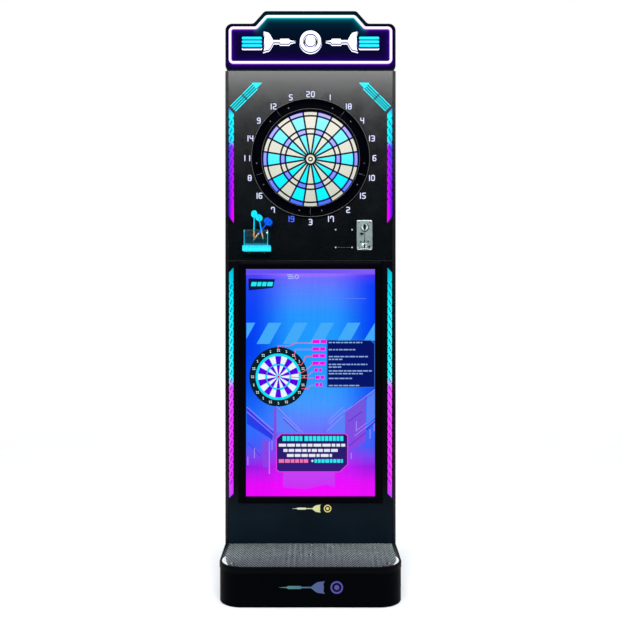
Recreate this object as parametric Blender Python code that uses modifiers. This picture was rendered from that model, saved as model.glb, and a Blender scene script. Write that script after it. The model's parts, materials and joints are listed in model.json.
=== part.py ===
"""Free-standing electronic dart machine.

A black cabinet on a step plinth, with a soft-tip dartboard of sprung segments, a
portrait display under it, a lit sign on top, a coin mechanism and a dart holder.

Frame: metres, +Z up, the player's side faces -Y, +X is the player's right.
Origin: centre of the footprint, on the floor.
"""

import math

import bmesh
import bpy
from mathutils import Vector

# ---------------------------------------------------------------- driving dimensions
CAB_HALF = 0.349            # half the cabinet's width
Y_STEP = -0.3535            # front edge of the step
Y_BACK = 0.3535             # rearmost face
Y_CAB = -0.0665             # front edge of the side panels
Y_FACE = -0.0645            # front face of the front panels
PANEL_T = 0.0150            # thickness of the front and rear panels
SIDE_T = 0.0120             # thickness of the side panels
GAP = 0.0003                # clearance between pieces that touch

PLINTH_H = 0.1465
PLINTH_WALL = 0.0180
PLINTH_INSET = 0.0018       # the step trim wraps the plinth by this much
STEP_R = 0.0900             # radius of the step's two front corners
TREAD_T = 0.0030
TRIM_W = 0.0080
TRIM_LEG = 0.0220
STEP_TOP = 0.1505

CAB_TOP = 2.0850
SPLIT_Z = 1.3040            # joint between the upper and lower front panels
INNER_HALF = CAB_HALF - SIDE_T - GAP

BULL_Z = 1.7270             # regulation height of the bull
SEG_FRONT = 0.0445          # distances in front of the plane y = 0
SEG_WEB_FRONT = 0.0337
SEG_WEB_BACK = 0.0312
SEG_TRAVEL = 0.0015
SPIDER_FRONT = 0.0460
SPIDER_BACK = 0.0340
SPIDER_R = 0.2055
BAR_HALF = 0.0009           # half the thickness of a spider bar
SEG_CLEAR = 0.0003          # segment to spider
R_INNER_BULL = 0.0082
R_BULL_HOLE = 0.0085
R_OUTER_BULL = 0.0194
R_BULL_WELL = 0.0197
# radii of the spider cells: inner single, triple, outer single, double
CELLS = ((0.0215, 0.1030), (0.1048, 0.1240), (0.1258, 0.1777), (0.1795, 0.1967))
SECTOR_ORDER = (20, 1, 18, 4, 13, 6, 10, 15, 2, 17, 3, 19, 7, 16, 8, 11, 14, 9, 12, 5)
ARC_STEPS = 3

MAT_R = 0.1980
MAT_BACK, MAT_FRONT = 0.0254, 0.0294
PANEL_HOLE_R = 0.2060

RING_GAP_DEG = 0.22
RING_PROFILE = (
    (0.2430, 0.0648), (0.2402, 0.0762), (0.2375, 0.0785), (0.2045, 0.0785),
    (0.2000, 0.0768), (0.1990, 0.0735), (0.1990, 0.0463), (0.2052, 0.0463),
    (0.2052, 0.0648),
)

BEZEL_HALF = 0.2962
BEZEL_Z = (0.3123, 1.3037)
SCREEN_HALF = 0.2645
SCREEN_Z = (0.3400, 1.2720)
BEZEL_T = 0.0080
DISPLAY_HALF = 0.2755
DISPLAY_Z = (0.3290, 1.2830)
DISPLAY_T = 0.0400

SIGN_SHOULDER = 2.2785
SIGN_TOP = 2.3300
SIGN_DEPTH = 0.1000
SIGN_WALL = 0.0040
SIGN_FACE_T = 0.0050
TUBE_R = 0.0060

STRIP_OUT, STRIP_IN = 0.3345, 0.3145
STRIP_T = 0.0042

COIN_X, COIN_Z = 0.2214, 1.4117
COIN_W, COIN_H = 0.0640, 0.1220
COIN_T = 0.0040
COIN_BODY_DEPTH = 0.0900
BOSS_Z, BOSS_R = 1.4433, 0.0150
CUP_HALF, CUP_Z, CUP_DEPTH = 0.0130, (1.3570, 1.3795), 0.0340
BUTTON_X, BUTTON_Z, BUTTON_R = COIN_X - 0.0120, 1.4160, 0.0045

HOLDER_X = (-0.2687, -0.1721)
HOLDER_Z = (1.3683, 1.4292)
HOLDER_DEPTH = 0.0500
HOLDER_WALL = 0.0030
HOLDER_BASE_X = (-0.2755, -0.1620)
HOLDER_BASE_Z = (1.3445, 1.3680)

DOOR_Z = (0.1473, 1.1197)
DOOR_HALF = 0.3355
REAR_FACE = 0.3455
HINGE_X, HINGE_Y, HINGE_R = -0.3325, 0.3480, 0.0022
LOCK_X, LOCK_Z = 0.2980, 0.6600

INLET_X, INLET_Z = 0.2500, 0.0780

# ---------------------------------------------------------------- a clean scene
for old in list(bpy.data.objects):
    bpy.data.objects.remove(old, do_unlink=True)

PARTS = bpy.data.collections.new("electronic_dart_machine")
CUTTERS = bpy.data.collections.new("cutters")
bpy.context.scene.collection.children.link(PARTS)
bpy.context.scene.collection.children.link(CUTTERS)


def material(name, color, rough, metal=0.0, emit=None, alpha=1.0):
    mat = bpy.data.materials.new(name)
    mat.use_nodes = True
    bsdf = mat.node_tree.nodes["Principled BSDF"]
    bsdf.inputs["Base Color"].default_value = (*color, 1.0)
    bsdf.inputs["Roughness"].default_value = rough
    bsdf.inputs["Metallic"].default_value = metal
    bsdf.inputs["Alpha"].default_value = alpha
    if emit:
        bsdf.inputs["Emission Color"].default_value = (*emit, 1.0)
        bsdf.inputs["Emission Strength"].default_value = 1.0
    mat.diffuse_color = (*color, alpha)
    return mat


LAMINATE = ((0.012, 0.012, 0.014), 0.35)
BLACK_PLASTIC = ((0.010, 0.010, 0.012), 0.45)


# ---------------------------------------------------------------- helpers
def link(ob, mat, cutter=False):
    (CUTTERS if cutter else PARTS).objects.link(ob)
    if cutter:
        ob.hide_render = True
        ob.display_type = "WIRE"
    elif mat is not None:
        ob.data.materials.clear()
        ob.data.materials.append(mat)
    return ob


def smooth(ob, angle=35.0):
    ob.data.shade_smooth()
    ob.data.set_sharp_from_angle(angle=math.radians(angle))


def box(name, lo, hi, mat=None, bevel=0.0, segments=2, cutter=False):
    """A box between two world corners, its origin at its centre."""
    bm = bmesh.new()
    size = [b - a for a, b in zip(lo, hi)]
    bmesh.ops.create_cube(bm, size=1.0)
    bmesh.ops.scale(bm, vec=size, verts=bm.verts)
    me = bpy.data.meshes.new(name)
    bm.to_mesh(me)
    bm.free()
    ob = bpy.data.objects.new(name, me)
    ob.location = [(a + b) / 2 for a, b in zip(lo, hi)]
    link(ob, mat, cutter)
    if bevel:
        mod = ob.modifiers.new("edges", "BEVEL")
        mod.width = bevel
        mod.segments = segments
        smooth(ob)
    return ob


def cylinder(name, radius, y_front, y_back, x, z, segments=24, mat=None, cutter=False):
    """A cylinder along Y between y_front and y_back."""
    bm = bmesh.new()
    bmesh.ops.create_cone(bm, cap_ends=True, segments=segments, radius1=radius,
                          radius2=radius, depth=y_back - y_front)
    me = bpy.data.meshes.new(name)
    bm.to_mesh(me)
    bm.free()
    ob = bpy.data.objects.new(name, me)
    ob.rotation_euler = (math.pi / 2, 0, 0)
    ob.location = (x, (y_front + y_back) / 2, z)
    link(ob, mat, cutter)
    smooth(ob)
    return ob


def curve_to_mesh(ob):
    """Replaces a curve object by its welded mesh."""
    bpy.context.view_layer.update()
    graph = bpy.context.evaluated_depsgraph_get()
    me = bpy.data.meshes.new_from_object(ob.evaluated_get(graph))
    bm = bmesh.new()
    bm.from_mesh(me)
    bmesh.ops.remove_doubles(bm, verts=bm.verts, dist=1e-6)
    bmesh.ops.recalc_face_normals(bm, faces=bm.faces)
    bm.to_mesh(me)
    bm.free()
    new = bpy.data.objects.new(ob.name + "_mesh", me)
    new.matrix_world = ob.matrix_world.copy()
    name, curve = ob.name, ob.data
    bpy.data.objects.remove(ob, do_unlink=True)
    bpy.data.curves.remove(curve)
    new.name = name
    new.data.name = name
    return new


def outline_curve(name, loops, thickness):
    cu = bpy.data.curves.new(name, "CURVE")
    cu.dimensions = "2D"
    cu.fill_mode = "BOTH"
    cu.extrude = thickness / 2
    for loop in loops:
        sp = cu.splines.new("POLY")
        sp.points.add(len(loop) - 1)
        for point, (x, y) in zip(sp.points, loop):
            point.co = (x, y, 0.0, 1.0)
        sp.use_cyclic_u = True
    return bpy.data.objects.new(name, cu)


def front_plate(name, loops, y_front, thickness, mat, cutter=False, at=(0.0, 0.0)):
    """A plate whose outline is drawn in the front view, x to the right and z up."""
    ob = outline_curve(name, loops, thickness)
    ob.rotation_euler = (math.pi / 2, 0, 0)
    ob.location = (at[0], y_front + thickness / 2, at[1])
    bpy.context.scene.collection.objects.link(ob)
    ob = curve_to_mesh(ob)
    return link(ob, mat, cutter)


def floor_plate(name, loops, z_low, thickness, mat, cutter=False):
    """A plate whose outline is drawn in plan."""
    ob = outline_curve(name, loops, thickness)
    ob.location = (0.0, 0.0, z_low + thickness / 2)
    bpy.context.scene.collection.objects.link(ob)
    ob = curve_to_mesh(ob)
    return link(ob, mat, cutter)


def rounded(corners, segments=4):
    """Corners (x, y, radius) of a closed polygon, with arcs put in."""
    out = []
    count = len(corners)
    for i, (x, y, r) in enumerate(corners):
        p = Vector((x, y))
        if r <= 0:
            out.append((x, y))
            continue
        u = (Vector(corners[i - 1][:2]) - p).normalized()
        v = (Vector(corners[(i + 1) % count][:2]) - p).normalized()
        theta = u.angle(v)
        centre = p + (u + v).normalized() * (r / math.sin(theta / 2))
        t = r / math.tan(theta / 2)
        start = p + u * t - centre
        end = p + v * t - centre
        a0 = math.atan2(start.y, start.x)
        turn = math.atan2(end.y, end.x) - a0
        turn = (turn + math.pi) % (2 * math.pi) - math.pi
        for k in range(segments + 1):
            a = a0 + turn * k / segments
            out.append((centre.x + r * math.cos(a), centre.y + r * math.sin(a)))
    return out


def inset(corners, d):
    """The same corners of an anticlockwise polygon moved inwards by d."""
    count = len(corners)
    out = []
    for i, (x, y, r) in enumerate(corners):
        p = Vector((x, y))
        a = (p - Vector(corners[i - 1][:2])).normalized()
        b = (Vector(corners[(i + 1) % count][:2]) - p).normalized()
        na, nb = Vector((-a.y, a.x)), Vector((-b.y, b.x))
        cross = a.x * b.y - a.y * b.x
        k = d / (1.0 + na.dot(nb))
        q = p + (na + nb) * k
        out.append((q.x, q.y, max(r - d, 0.0) if cross > 0 else r + d))
    return out


def rect(half_w, z0, z1, r=0.0, x=0.0):
    return [(x - half_w, z0, r), (x + half_w, z0, r), (x + half_w, z1, r), (x - half_w, z1, r)]


def circle(radius, count, x=0.0, z=0.0, phase=0.0):
    return [(x + radius * math.cos(2 * math.pi * k / count + phase),
             z + radius * math.sin(2 * math.pi * k / count + phase)) for k in range(count)]


def turned(name, profile, steps, mat, location=(0, 0, 0), rotation=(0, 0, 0)):
    """A solid of revolution about local Z; the profile runs down its outer side."""
    me = bpy.data.meshes.new(name)
    me.from_pydata([(r, 0.0, z) for r, z in profile],
                   [(i, i + 1) for i in range(len(profile) - 1)], [])
    ob = bpy.data.objects.new(name, me)
    ob.location = location
    ob.rotation_euler = rotation
    link(ob, mat)
    mod = ob.modifiers.new("turn", "SCREW")
    mod.steps = steps
    mod.render_steps = steps
    mod.use_merge_vertices = True
    mod.merge_threshold = 0.00001
    return ob


def boolean(ob, other, operation):
    mod = ob.modifiers.new(other.name, "BOOLEAN")
    mod.object = other
    mod.operation = operation
    return mod


FRONT = (math.pi / 2, 0, 0)     # local x right, y up, z towards the player


# ---------------------------------------------------------------- plinth and step
def plan_outline(d, y_end):
    """The step's plan outline, set in by d, closed at y_end."""
    h, y0, r = CAB_HALF - d, Y_STEP + d, STEP_R - d
    return [(-h, y0, r), (h, y0, r), (h, y_end, 0.0), (-h, y_end, 0.0)]


plinth_rear = Y_BACK - 0.0022
bm = bmesh.new()
loop = rounded(plan_outline(PLINTH_INSET, plinth_rear), 8)
verts = [bm.verts.new((x, y, PLINTH_H)) for x, y in loop]
top = bm.faces.new(verts)
ret = bmesh.ops.extrude_edge_only(bm, edges=list(top.edges))
bmesh.ops.translate(bm, vec=(0, 0, -PLINTH_H),
                    verts=[g for g in ret["geom"] if isinstance(g, bmesh.types.BMVert)])
bmesh.ops.recalc_face_normals(bm, faces=bm.faces)
if top.normal.z < 0:
    bmesh.ops.reverse_faces(bm, faces=bm.faces)
me = bpy.data.meshes.new("base_plinth")
bm.to_mesh(me)
bm.free()
plinth = link(bpy.data.objects.new("base_plinth", me),
              material("plinth_black", (0.010, 0.010, 0.012), 0.4))
shell = plinth.modifiers.new("walls", "SOLIDIFY")
shell.thickness = PLINTH_WALL
shell.offset = -1.0
shell.use_even_offset = True
inlet_hole = box("cut_inlet", (INLET_X - 0.0141, plinth_rear - 0.03, INLET_Z - 0.0102),
                 (INLET_X + 0.0141, plinth_rear + 0.01, INLET_Z + 0.0102), cutter=True)
boolean(plinth, inlet_hole, "DIFFERENCE")

tread_front = Y_CAB - 0.0005
floor_plate("tread_plate", [rounded(plan_outline(TRIM_W + GAP, tread_front), 8)],
            PLINTH_H + GAP, TREAD_T,
            material("chequer_aluminium", (0.62, 0.63, 0.65), 0.3, 1.0))

outer = rounded(plan_outline(0.0, tread_front), 10)
inner = rounded(plan_outline(TRIM_W, tread_front), 10)
u_shape = outer[:-2] + [outer[-2], (CAB_HALF - TRIM_W, tread_front)]
u_shape += list(reversed(inner[:-2])) + [(-CAB_HALF + TRIM_W, tread_front), outer[-1]]
trim = floor_plate("step_edge_trim", [u_shape], STEP_TOP - TRIM_LEG, TRIM_LEG,
                   material("trim_black", (0.02, 0.02, 0.022), 0.3, 0.0))
under = floor_plate("cut_trim", [rounded(plan_outline(PLINTH_INSET - GAP, tread_front + 0.02), 10)],
                    STEP_TOP - TRIM_LEG - 0.02, TRIM_LEG + 0.02 - (STEP_TOP - PLINTH_H - GAP),
                    None, cutter=True)
boolean(trim, under, "DIFFERENCE")

# ---------------------------------------------------------------- cabinet
for side, sign in (("left", -1), ("right", 1)):
    xs = sorted((sign * CAB_HALF, sign * (CAB_HALF - SIDE_T)))
    box(f"side_panel_{side}", (xs[0], Y_CAB, PLINTH_H + GAP), (xs[1], Y_BACK, CAB_TOP - GAP),
        material(f"laminate_{side}", *LAMINATE), bevel=0.0022, segments=2)

box("top_panel", (-INNER_HALF, Y_FACE + PANEL_T + GAP, CAB_TOP - 0.0150),
    (INNER_HALF, REAR_FACE - PANEL_T - GAP, CAB_TOP - GAP), material("laminate_top", *LAMINATE))

front_plate("front_panel_upper",
            [[p[:2] for p in rect(INNER_HALF, SPLIT_Z + GAP, CAB_TOP - GAP)],
             circle(PANEL_HOLE_R, 60, 0.0, BULL_Z),
             [p[:2] for p in rect(0.0268, COIN_Z - 0.0583, COIN_Z + 0.0552, 0.0, COIN_X)]],
            Y_FACE, PANEL_T, material("gloss_black_upper", (0.012, 0.012, 0.014), 0.25))

hole = BEZEL_HALF + GAP
front_plate("front_frame_lower",
            [[(-INNER_HALF, PLINTH_H + GAP), (INNER_HALF, PLINTH_H + GAP), (INNER_HALF, SPLIT_Z),
              (hole, SPLIT_Z), (hole, BEZEL_Z[0] - GAP), (-hole, BEZEL_Z[0] - GAP),
              (-hole, SPLIT_Z), (-INNER_HALF, SPLIT_Z)]],
            Y_FACE, PANEL_T, material("gloss_black_lower", (0.012, 0.013, 0.018), 0.25))

front_plate("screen_bezel",
            [rounded(rect(BEZEL_HALF, *BEZEL_Z, 0.004), 3),
             [p[:2] for p in rect(SCREEN_HALF, *SCREEN_Z)]],
            Y_CAB, BEZEL_T, material("bezel_black", *BLACK_PLASTIC))

display_front = Y_CAB + BEZEL_T + GAP
box("display_panel", (-DISPLAY_HALF, display_front, DISPLAY_Z[0]),
    (DISPLAY_HALF, display_front + DISPLAY_T, DISPLAY_Z[1]),
    material("display_blue", (0.02, 0.06, 0.4), 0.15, emit=(0.05, 0.18, 0.9)), bevel=0.001, segments=1)

box("rear_panel", (-INNER_HALF, REAR_FACE - PANEL_T, DOOR_Z[1] + 0.0006),
    (INNER_HALF, REAR_FACE, CAB_TOP - GAP), material("laminate_rear", *LAMINATE))

door = box("rear_door", (-DOOR_HALF, REAR_FACE - PANEL_T, DOOR_Z[0]),
           (DOOR_HALF, REAR_FACE, DOOR_Z[1]), material("laminate_door", *LAMINATE))
shift = Vector(door.location) - Vector((HINGE_X, HINGE_Y, door.location.z))
for v in door.data.vertices:
    v.co += shift
door.location = (HINGE_X, HINGE_Y, door.location.z)
bm = bmesh.new()
bmesh.ops.create_cone(bm, cap_ends=True, segments=14, radius1=HINGE_R + 0.0008,
                      radius2=HINGE_R + 0.0008, depth=DOOR_Z[1] - DOOR_Z[0] - 0.06)
me = bpy.data.meshes.new("hinge_barrel")
bm.to_mesh(me)
bm.free()
barrel = link(bpy.data.objects.new("hinge_barrel", me), None, cutter=True)
barrel.location = (HINGE_X, HINGE_Y, (DOOR_Z[0] + DOOR_Z[1]) / 2)
boolean(door, barrel, "UNION")
boolean(door, cylinder("cut_lock", 0.0098, REAR_FACE - 0.03, REAR_FACE + 0.01, LOCK_X, LOCK_Z,
                       24, cutter=True), "DIFFERENCE")

lock = turned("door_lock", [(0.0, 0.0023), (0.0118, 0.0023), (0.0128, 0.0014), (0.0128, GAP),
                            (0.0095, GAP), (0.0095, -0.0275), (0.0, -0.0275)], 24,
              material("lock_chrome", (0.75, 0.75, 0.77), 0.15, 1.0),
              (LOCK_X, REAR_FACE, LOCK_Z), (-math.pi / 2, 0, 0))
cam = box("lock_cam", (LOCK_X - 0.008, REAR_FACE - 0.0290, LOCK_Z - 0.0080),
          (LOCK_X + 0.0340, REAR_FACE - 0.0260, LOCK_Z + 0.0080), cutter=True)
boolean(lock, cam, "UNION")

inlet = box("power_inlet", (INLET_X - 0.0240, plinth_rear + GAP, INLET_Z - 0.0115),
            (INLET_X + 0.0240, Y_BACK, INLET_Z + 0.0115), material("inlet_black", *BLACK_PLASTIC))
inlet_body = box("inlet_body", (INLET_X - 0.0138, plinth_rear - 0.0250, INLET_Z - 0.0099),
                 (INLET_X + 0.0138, plinth_rear + 0.0010, INLET_Z + 0.0099), cutter=True)
boolean(inlet, inlet_body, "UNION")
inlet_well = box("cut_inlet_well", (INLET_X - 0.0115, plinth_rear - 0.0200, INLET_Z - 0.0075),
                 (INLET_X + 0.0115, Y_BACK + 0.01, INLET_Z + 0.0075), cutter=True)
boolean(inlet, inlet_well, "DIFFERENCE")

box("controller_box", (-CAB_HALF + SIDE_T + GAP, 0.0700, 0.7600), (-0.2700, 0.2700, 1.0400),
    material("controller_grey", (0.30, 0.31, 0.32), 0.5, 0.6), bevel=0.002, segments=1)


# ---------------------------------------------------------------- dartboard
def half_angle(radius, offset):
    """Half the opening of a sector at a radius, with its sides set in from the rays."""
    return math.radians(9.0) - math.asin(offset / radius)


def polar(radius, angle):
    """Clockwise from the top, in the board's own front view."""
    return (radius * math.sin(angle), radius * math.cos(angle))


def spider_cell(centre, r0, r1):
    out = []
    h = half_angle(r1, BAR_HALF)
    for i in range(ARC_STEPS + 1):
        out.append(polar(r1, centre + h * (2 * i / ARC_STEPS - 1)))
    h = half_angle(r0, BAR_HALF)
    for i in range(ARC_STEPS, -1, -1):
        out.append(polar(r0, centre + h * (2 * i / ARC_STEPS - 1)))
    return out


loops = [circle(SPIDER_R, 60), circle(R_BULL_WELL, 24)]
for k in range(20):
    for r0, r1 in CELLS:
        loops.append(spider_cell(math.radians(18.0 * k), r0, r1))
front_plate("spider", loops, -SPIDER_FRONT, SPIDER_FRONT - SPIDER_BACK,
            material("spider_black", *BLACK_PLASTIC), at=(0.0, BULL_Z))

CREAM = (0.84, 0.82, 0.74)
CYAN = (0.02, 0.85, 0.95)
cream_mat = material("segment_cream", CREAM, 0.5)
cyan_mat = material("segment_cyan", CYAN, 0.5, emit=(0.0, 0.5, 0.6))

rows = []
for r0, r1 in CELLS:
    rows += [r0 + SEG_CLEAR, r1 - SEG_CLEAR]


def sector_mesh(centre):
    """Four segments of one sector on one web, in the board's front view."""
    bm = bmesh.new()
    grid = []
    for r in rows:
        h = half_angle(r, BAR_HALF + SEG_CLEAR)
        grid.append([bm.verts.new((*polar(r, centre + h * (2 * i / ARC_STEPS - 1)), SEG_WEB_BACK))
                     for i in range(ARC_STEPS + 1)])
    faces = []
    for a, b in zip(grid, grid[1:]):
        for i in range(ARC_STEPS):
            faces.append(bm.faces.new((a[i], a[i + 1], b[i + 1], b[i])))
    ret = bmesh.ops.extrude_face_region(bm, geom=faces)
    moved = [g for g in ret["geom"] if isinstance(g, bmesh.types.BMVert)]
    bmesh.ops.translate(bm, vec=(0, 0, SEG_WEB_FRONT - SEG_WEB_BACK), verts=moved)
    mid = (SEG_WEB_FRONT + SEG_WEB_BACK) / 2
    front = [f for f in bm.faces if all(v.co.z > mid for v in f.verts)]
    zones = []
    for f in front:
        r = sum(math.hypot(v.co.x, v.co.y) for v in f.verts) / len(f.verts)
        if any(r0 < r < r1 for r0, r1 in CELLS):
            zones.append(f)
    ret = bmesh.ops.extrude_face_region(bm, geom=zones)
    bmesh.ops.delete(bm, geom=zones, context="FACES_ONLY")
    moved = [g for g in ret["geom"] if isinstance(g, bmesh.types.BMVert)]
    bmesh.ops.translate(bm, vec=(0, 0, SEG_FRONT - SEG_WEB_FRONT), verts=moved)
    back = [f for f in bm.faces if all(v.co.z < mid for v in f.verts)]
    bmesh.ops.dissolve_faces(bm, faces=back, use_verts=True)
    bmesh.ops.recalc_face_normals(bm, faces=bm.faces)
    me = bpy.data.meshes.new("sector")
    bm.to_mesh(me)
    bm.free()
    return me


for k, value in enumerate(SECTOR_ORDER):
    ob = bpy.data.objects.new(f"sector_{value:02d}", sector_mesh(math.radians(18.0 * k)))
    ob.rotation_euler = FRONT
    ob.location = (0.0, 0.0, BULL_Z)
    link(ob, cream_mat if k % 2 == 0 else cyan_mat)

turned("outer_bull", [(R_BULL_HOLE, SEG_FRONT), (R_OUTER_BULL, SEG_FRONT),
                      (R_OUTER_BULL, SEG_WEB_FRONT), (0.0212, SEG_WEB_FRONT),
                      (0.0212, SEG_WEB_BACK), (R_BULL_HOLE, SEG_WEB_BACK),
                      (R_BULL_HOLE, SEG_FRONT)], 24,
       material("outer_bull_cream", CREAM, 0.5), (0.0, 0.0, BULL_Z), FRONT)
turned("inner_bull", [(0.0, SEG_FRONT), (R_INNER_BULL, SEG_FRONT), (R_INNER_BULL, SEG_WEB_BACK),
                      (0.0, SEG_WEB_BACK)], 20,
       material("inner_bull_dark", (0.03, 0.03, 0.035), 0.5), (0.0, 0.0, BULL_Z), FRONT)

turned("sensor_mat", [(0.0, MAT_FRONT), (MAT_R, MAT_FRONT), (MAT_R, MAT_BACK), (0.0, MAT_BACK)],
       48, material("mat_rubber", (0.05, 0.05, 0.05), 0.8), (0.0, 0.0, BULL_Z), FRONT)

turned("board_housing", [(0.0, 0.0251), (0.1990, 0.0251), (0.1990, 0.0337), (0.2080, 0.0337),
                         (0.2080, 0.0492), (0.2300, 0.0492), (0.2300, 0.0462), (0.2150, 0.0462),
                         (0.2150, 0.0130), (0.0, 0.0130)], 48,
       material("housing_black", *BLACK_PLASTIC), (0.0, 0.0, BULL_Z), FRONT)

ARC_NAMES = ("top", "upper_right", "lower_right", "lower_left", "upper_left")
ring_mat = material("surround_black", (0.012, 0.012, 0.013), 0.5)
for k, name in enumerate(ARC_NAMES):
    span = math.radians(72.0 - RING_GAP_DEG)
    start = math.radians(72.0 * k) - span / 2
    bm = bmesh.new()
    section = []
    for r, z in RING_PROFILE:
        section.append(bm.verts.new((*polar(r, start), z)))
    face = bm.faces.new(section)
    bmesh.ops.spin(bm, geom=[face], cent=(0, 0, 0), axis=(0, 0, 1), angle=-span, steps=12,
                   use_merge=False, use_duplicate=False)
    bmesh.ops.recalc_face_normals(bm, faces=bm.faces)
    me = bpy.data.meshes.new(name)
    bm.to_mesh(me)
    bm.free()
    ob = bpy.data.objects.new(f"surround_arc_{name}", me)
    ob.rotation_euler = FRONT
    ob.location = (0.0, 0.0, BULL_Z)
    link(ob, ring_mat)
    smooth(ob)

# ---------------------------------------------------------------- sign
SIGN = [(-CAB_HALF, CAB_TOP + GAP, 0.022), (CAB_HALF, CAB_TOP + GAP, 0.022),
        (CAB_HALF, SIGN_SHOULDER, 0.028), (0.2340, SIGN_SHOULDER, 0.020),
        (0.1880, SIGN_TOP, 0.018), (-0.1880, SIGN_TOP, 0.018),
        (-0.2340, SIGN_SHOULDER, 0.020), (-CAB_HALF, SIGN_SHOULDER, 0.028)]

bm = bmesh.new()
verts = [bm.verts.new((x, z, -(Y_CAB + SIGN_DEPTH))) for x, z in rounded(SIGN, 5)]
back = bm.faces.new(verts)
ret = bmesh.ops.extrude_edge_only(bm, edges=list(back.edges))
bmesh.ops.translate(bm, vec=(0, 0, SIGN_DEPTH),
                    verts=[g for g in ret["geom"] if isinstance(g, bmesh.types.BMVert)])
bmesh.ops.recalc_face_normals(bm, faces=bm.faces)
if back.normal.z > 0:
    bmesh.ops.reverse_faces(bm, faces=bm.faces)
me = bpy.data.meshes.new("marquee_housing")
bm.to_mesh(me)
bm.free()
housing = bpy.data.objects.new("marquee_housing", me)
housing.rotation_euler = FRONT
link(housing, material("sign_housing_black", *LAMINATE))
shell = housing.modifiers.new("walls", "SOLIDIFY")
shell.thickness = SIGN_WALL
shell.offset = -1.0
shell.use_even_offset = True
smooth(housing)

front_plate("marquee_face", [rounded(inset(SIGN, SIGN_WALL + GAP), 5)], Y_CAB, SIGN_FACE_T,
            material("sign_face_navy", (0.012, 0.014, 0.05), 0.2))

TUBE = [(-0.3288, 2.1165, 0.012), (0.3288, 2.1165, 0.012), (0.3288, 2.2577, 0.012),
        (0.2215, 2.2577, 0.012), (0.1795, 2.3045, 0.012), (-0.1795, 2.3045, 0.012),
        (-0.2215, 2.2577, 0.012), (-0.3288, 2.2577, 0.012)]
tube = bpy.data.curves.new("marquee_tube", "CURVE")
tube.dimensions = "3D"
tube.fill_mode = "FULL"
tube.bevel_depth = TUBE_R
tube.bevel_resolution = 1
points = rounded(TUBE, 3)
spline = tube.splines.new("POLY")
spline.points.add(len(points) - 1)
for point, (x, z) in zip(spline.points, points):
    point.co = (x, z, -Y_CAB + GAP + TUBE_R, 1.0)
spline.use_cyclic_u = True
tube_ob = bpy.data.objects.new("marquee_tube", tube)
tube_ob.rotation_euler = FRONT
bpy.context.scene.collection.objects.link(tube_ob)
link(curve_to_mesh(tube_ob), material("neon_white", (0.9, 0.9, 1.0), 0.3, emit=(0.7, 0.6, 1.0)))


# ---------------------------------------------------------------- light strips
def strip(name, sign, corners, color):
    loop = [(sign * x, z) for x, z in corners]
    if sign < 0:
        loop.reverse()
    front_plate(name, [loop], Y_FACE - GAP - STRIP_T, STRIP_T,
                material(name, color, 0.3, emit=color))


for side, sign in (("left", -1), ("right", 1)):
    strip(f"light_strip_upper_{side}", sign,
          [(STRIP_IN, 1.4620), (STRIP_OUT, 1.4890), (STRIP_OUT, 1.9330), (STRIP_IN, 1.9070)],
          (0.15, 0.35, 0.95))
    strip(f"light_strip_lower_{side}", sign,
          [(STRIP_IN, 0.3545), (STRIP_OUT, 0.3340), (STRIP_OUT, 1.2570), (STRIP_IN, 1.2790)],
          (0.20, 0.55, 0.95))

# ---------------------------------------------------------------- coin mechanism
face = Y_FACE - GAP
coin = front_plate("coin_plate", [rounded(rect(COIN_W / 2, COIN_Z - COIN_H / 2, COIN_Z + COIN_H / 2,
                                               0.005, COIN_X), 3)],
                   face - COIN_T, COIN_T, material("coin_zinc", (0.55, 0.56, 0.57), 0.35, 1.0))
boolean(coin, box("coin_body", (COIN_X - 0.0265, face - 0.001, COIN_Z - 0.0580),
                  (COIN_X + 0.0265, face + COIN_BODY_DEPTH, COIN_Z + 0.0548), cutter=True), "UNION")
boolean(coin, cylinder("coin_boss", BOSS_R, face - COIN_T - 0.0080, face - 0.001,
                       COIN_X, BOSS_Z, 24, cutter=True), "UNION")
boolean(coin, box("cut_slot", (COIN_X - 0.0015, face - 0.03, BOSS_Z - 0.0120),
                  (COIN_X + 0.0015, face + 0.0300, BOSS_Z + 0.0120), cutter=True), "DIFFERENCE")
boolean(coin, box("cut_cup", (COIN_X - CUP_HALF, face - 0.03, CUP_Z[0]),
                  (COIN_X + CUP_HALF, face - COIN_T + CUP_DEPTH, CUP_Z[1]), cutter=True), "DIFFERENCE")
boolean(coin, cylinder("cut_button", BUTTON_R + GAP, face - 0.03, face + 0.0100,
                       BUTTON_X, BUTTON_Z, 18, cutter=True), "DIFFERENCE")

button = turned("coin_reject_button", [(0.0, 0.0090), (0.0036, 0.0090), (BUTTON_R, 0.0082),
                                       (BUTTON_R, -0.0050), (0.0, -0.0050)], 18,
                material("button_black", *BLACK_PLASTIC), (BUTTON_X, face, BUTTON_Z), FRONT)

FLAP_Y, FLAP_Z = face - 0.0018, CUP_Z[1] - 0.0017
flap = box("coin_return_flap", (COIN_X - CUP_HALF + 0.0004, FLAP_Y - 0.0009, CUP_Z[0] + 0.0008),
           (COIN_X + CUP_HALF - 0.0004, FLAP_Y + 0.0009, FLAP_Z),
           material("flap_zinc", (0.40, 0.41, 0.42), 0.35, 1.0))
shift = Vector(flap.location) - Vector((COIN_X, FLAP_Y, FLAP_Z))
for v in flap.data.vertices:
    v.co += shift
flap.location = (COIN_X, FLAP_Y, FLAP_Z)
bm = bmesh.new()
bmesh.ops.create_cone(bm, cap_ends=True, segments=12, radius1=0.0013, radius2=0.0013,
                      depth=2 * CUP_HALF - 0.0010)
me = bpy.data.meshes.new("flap_pin")
bm.to_mesh(me)
bm.free()
pin = link(bpy.data.objects.new("flap_pin", me), None, cutter=True)
pin.rotation_euler = (0, math.pi / 2, 0)
pin.location = (COIN_X, FLAP_Y, FLAP_Z)
boolean(flap, pin, "UNION")

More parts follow.
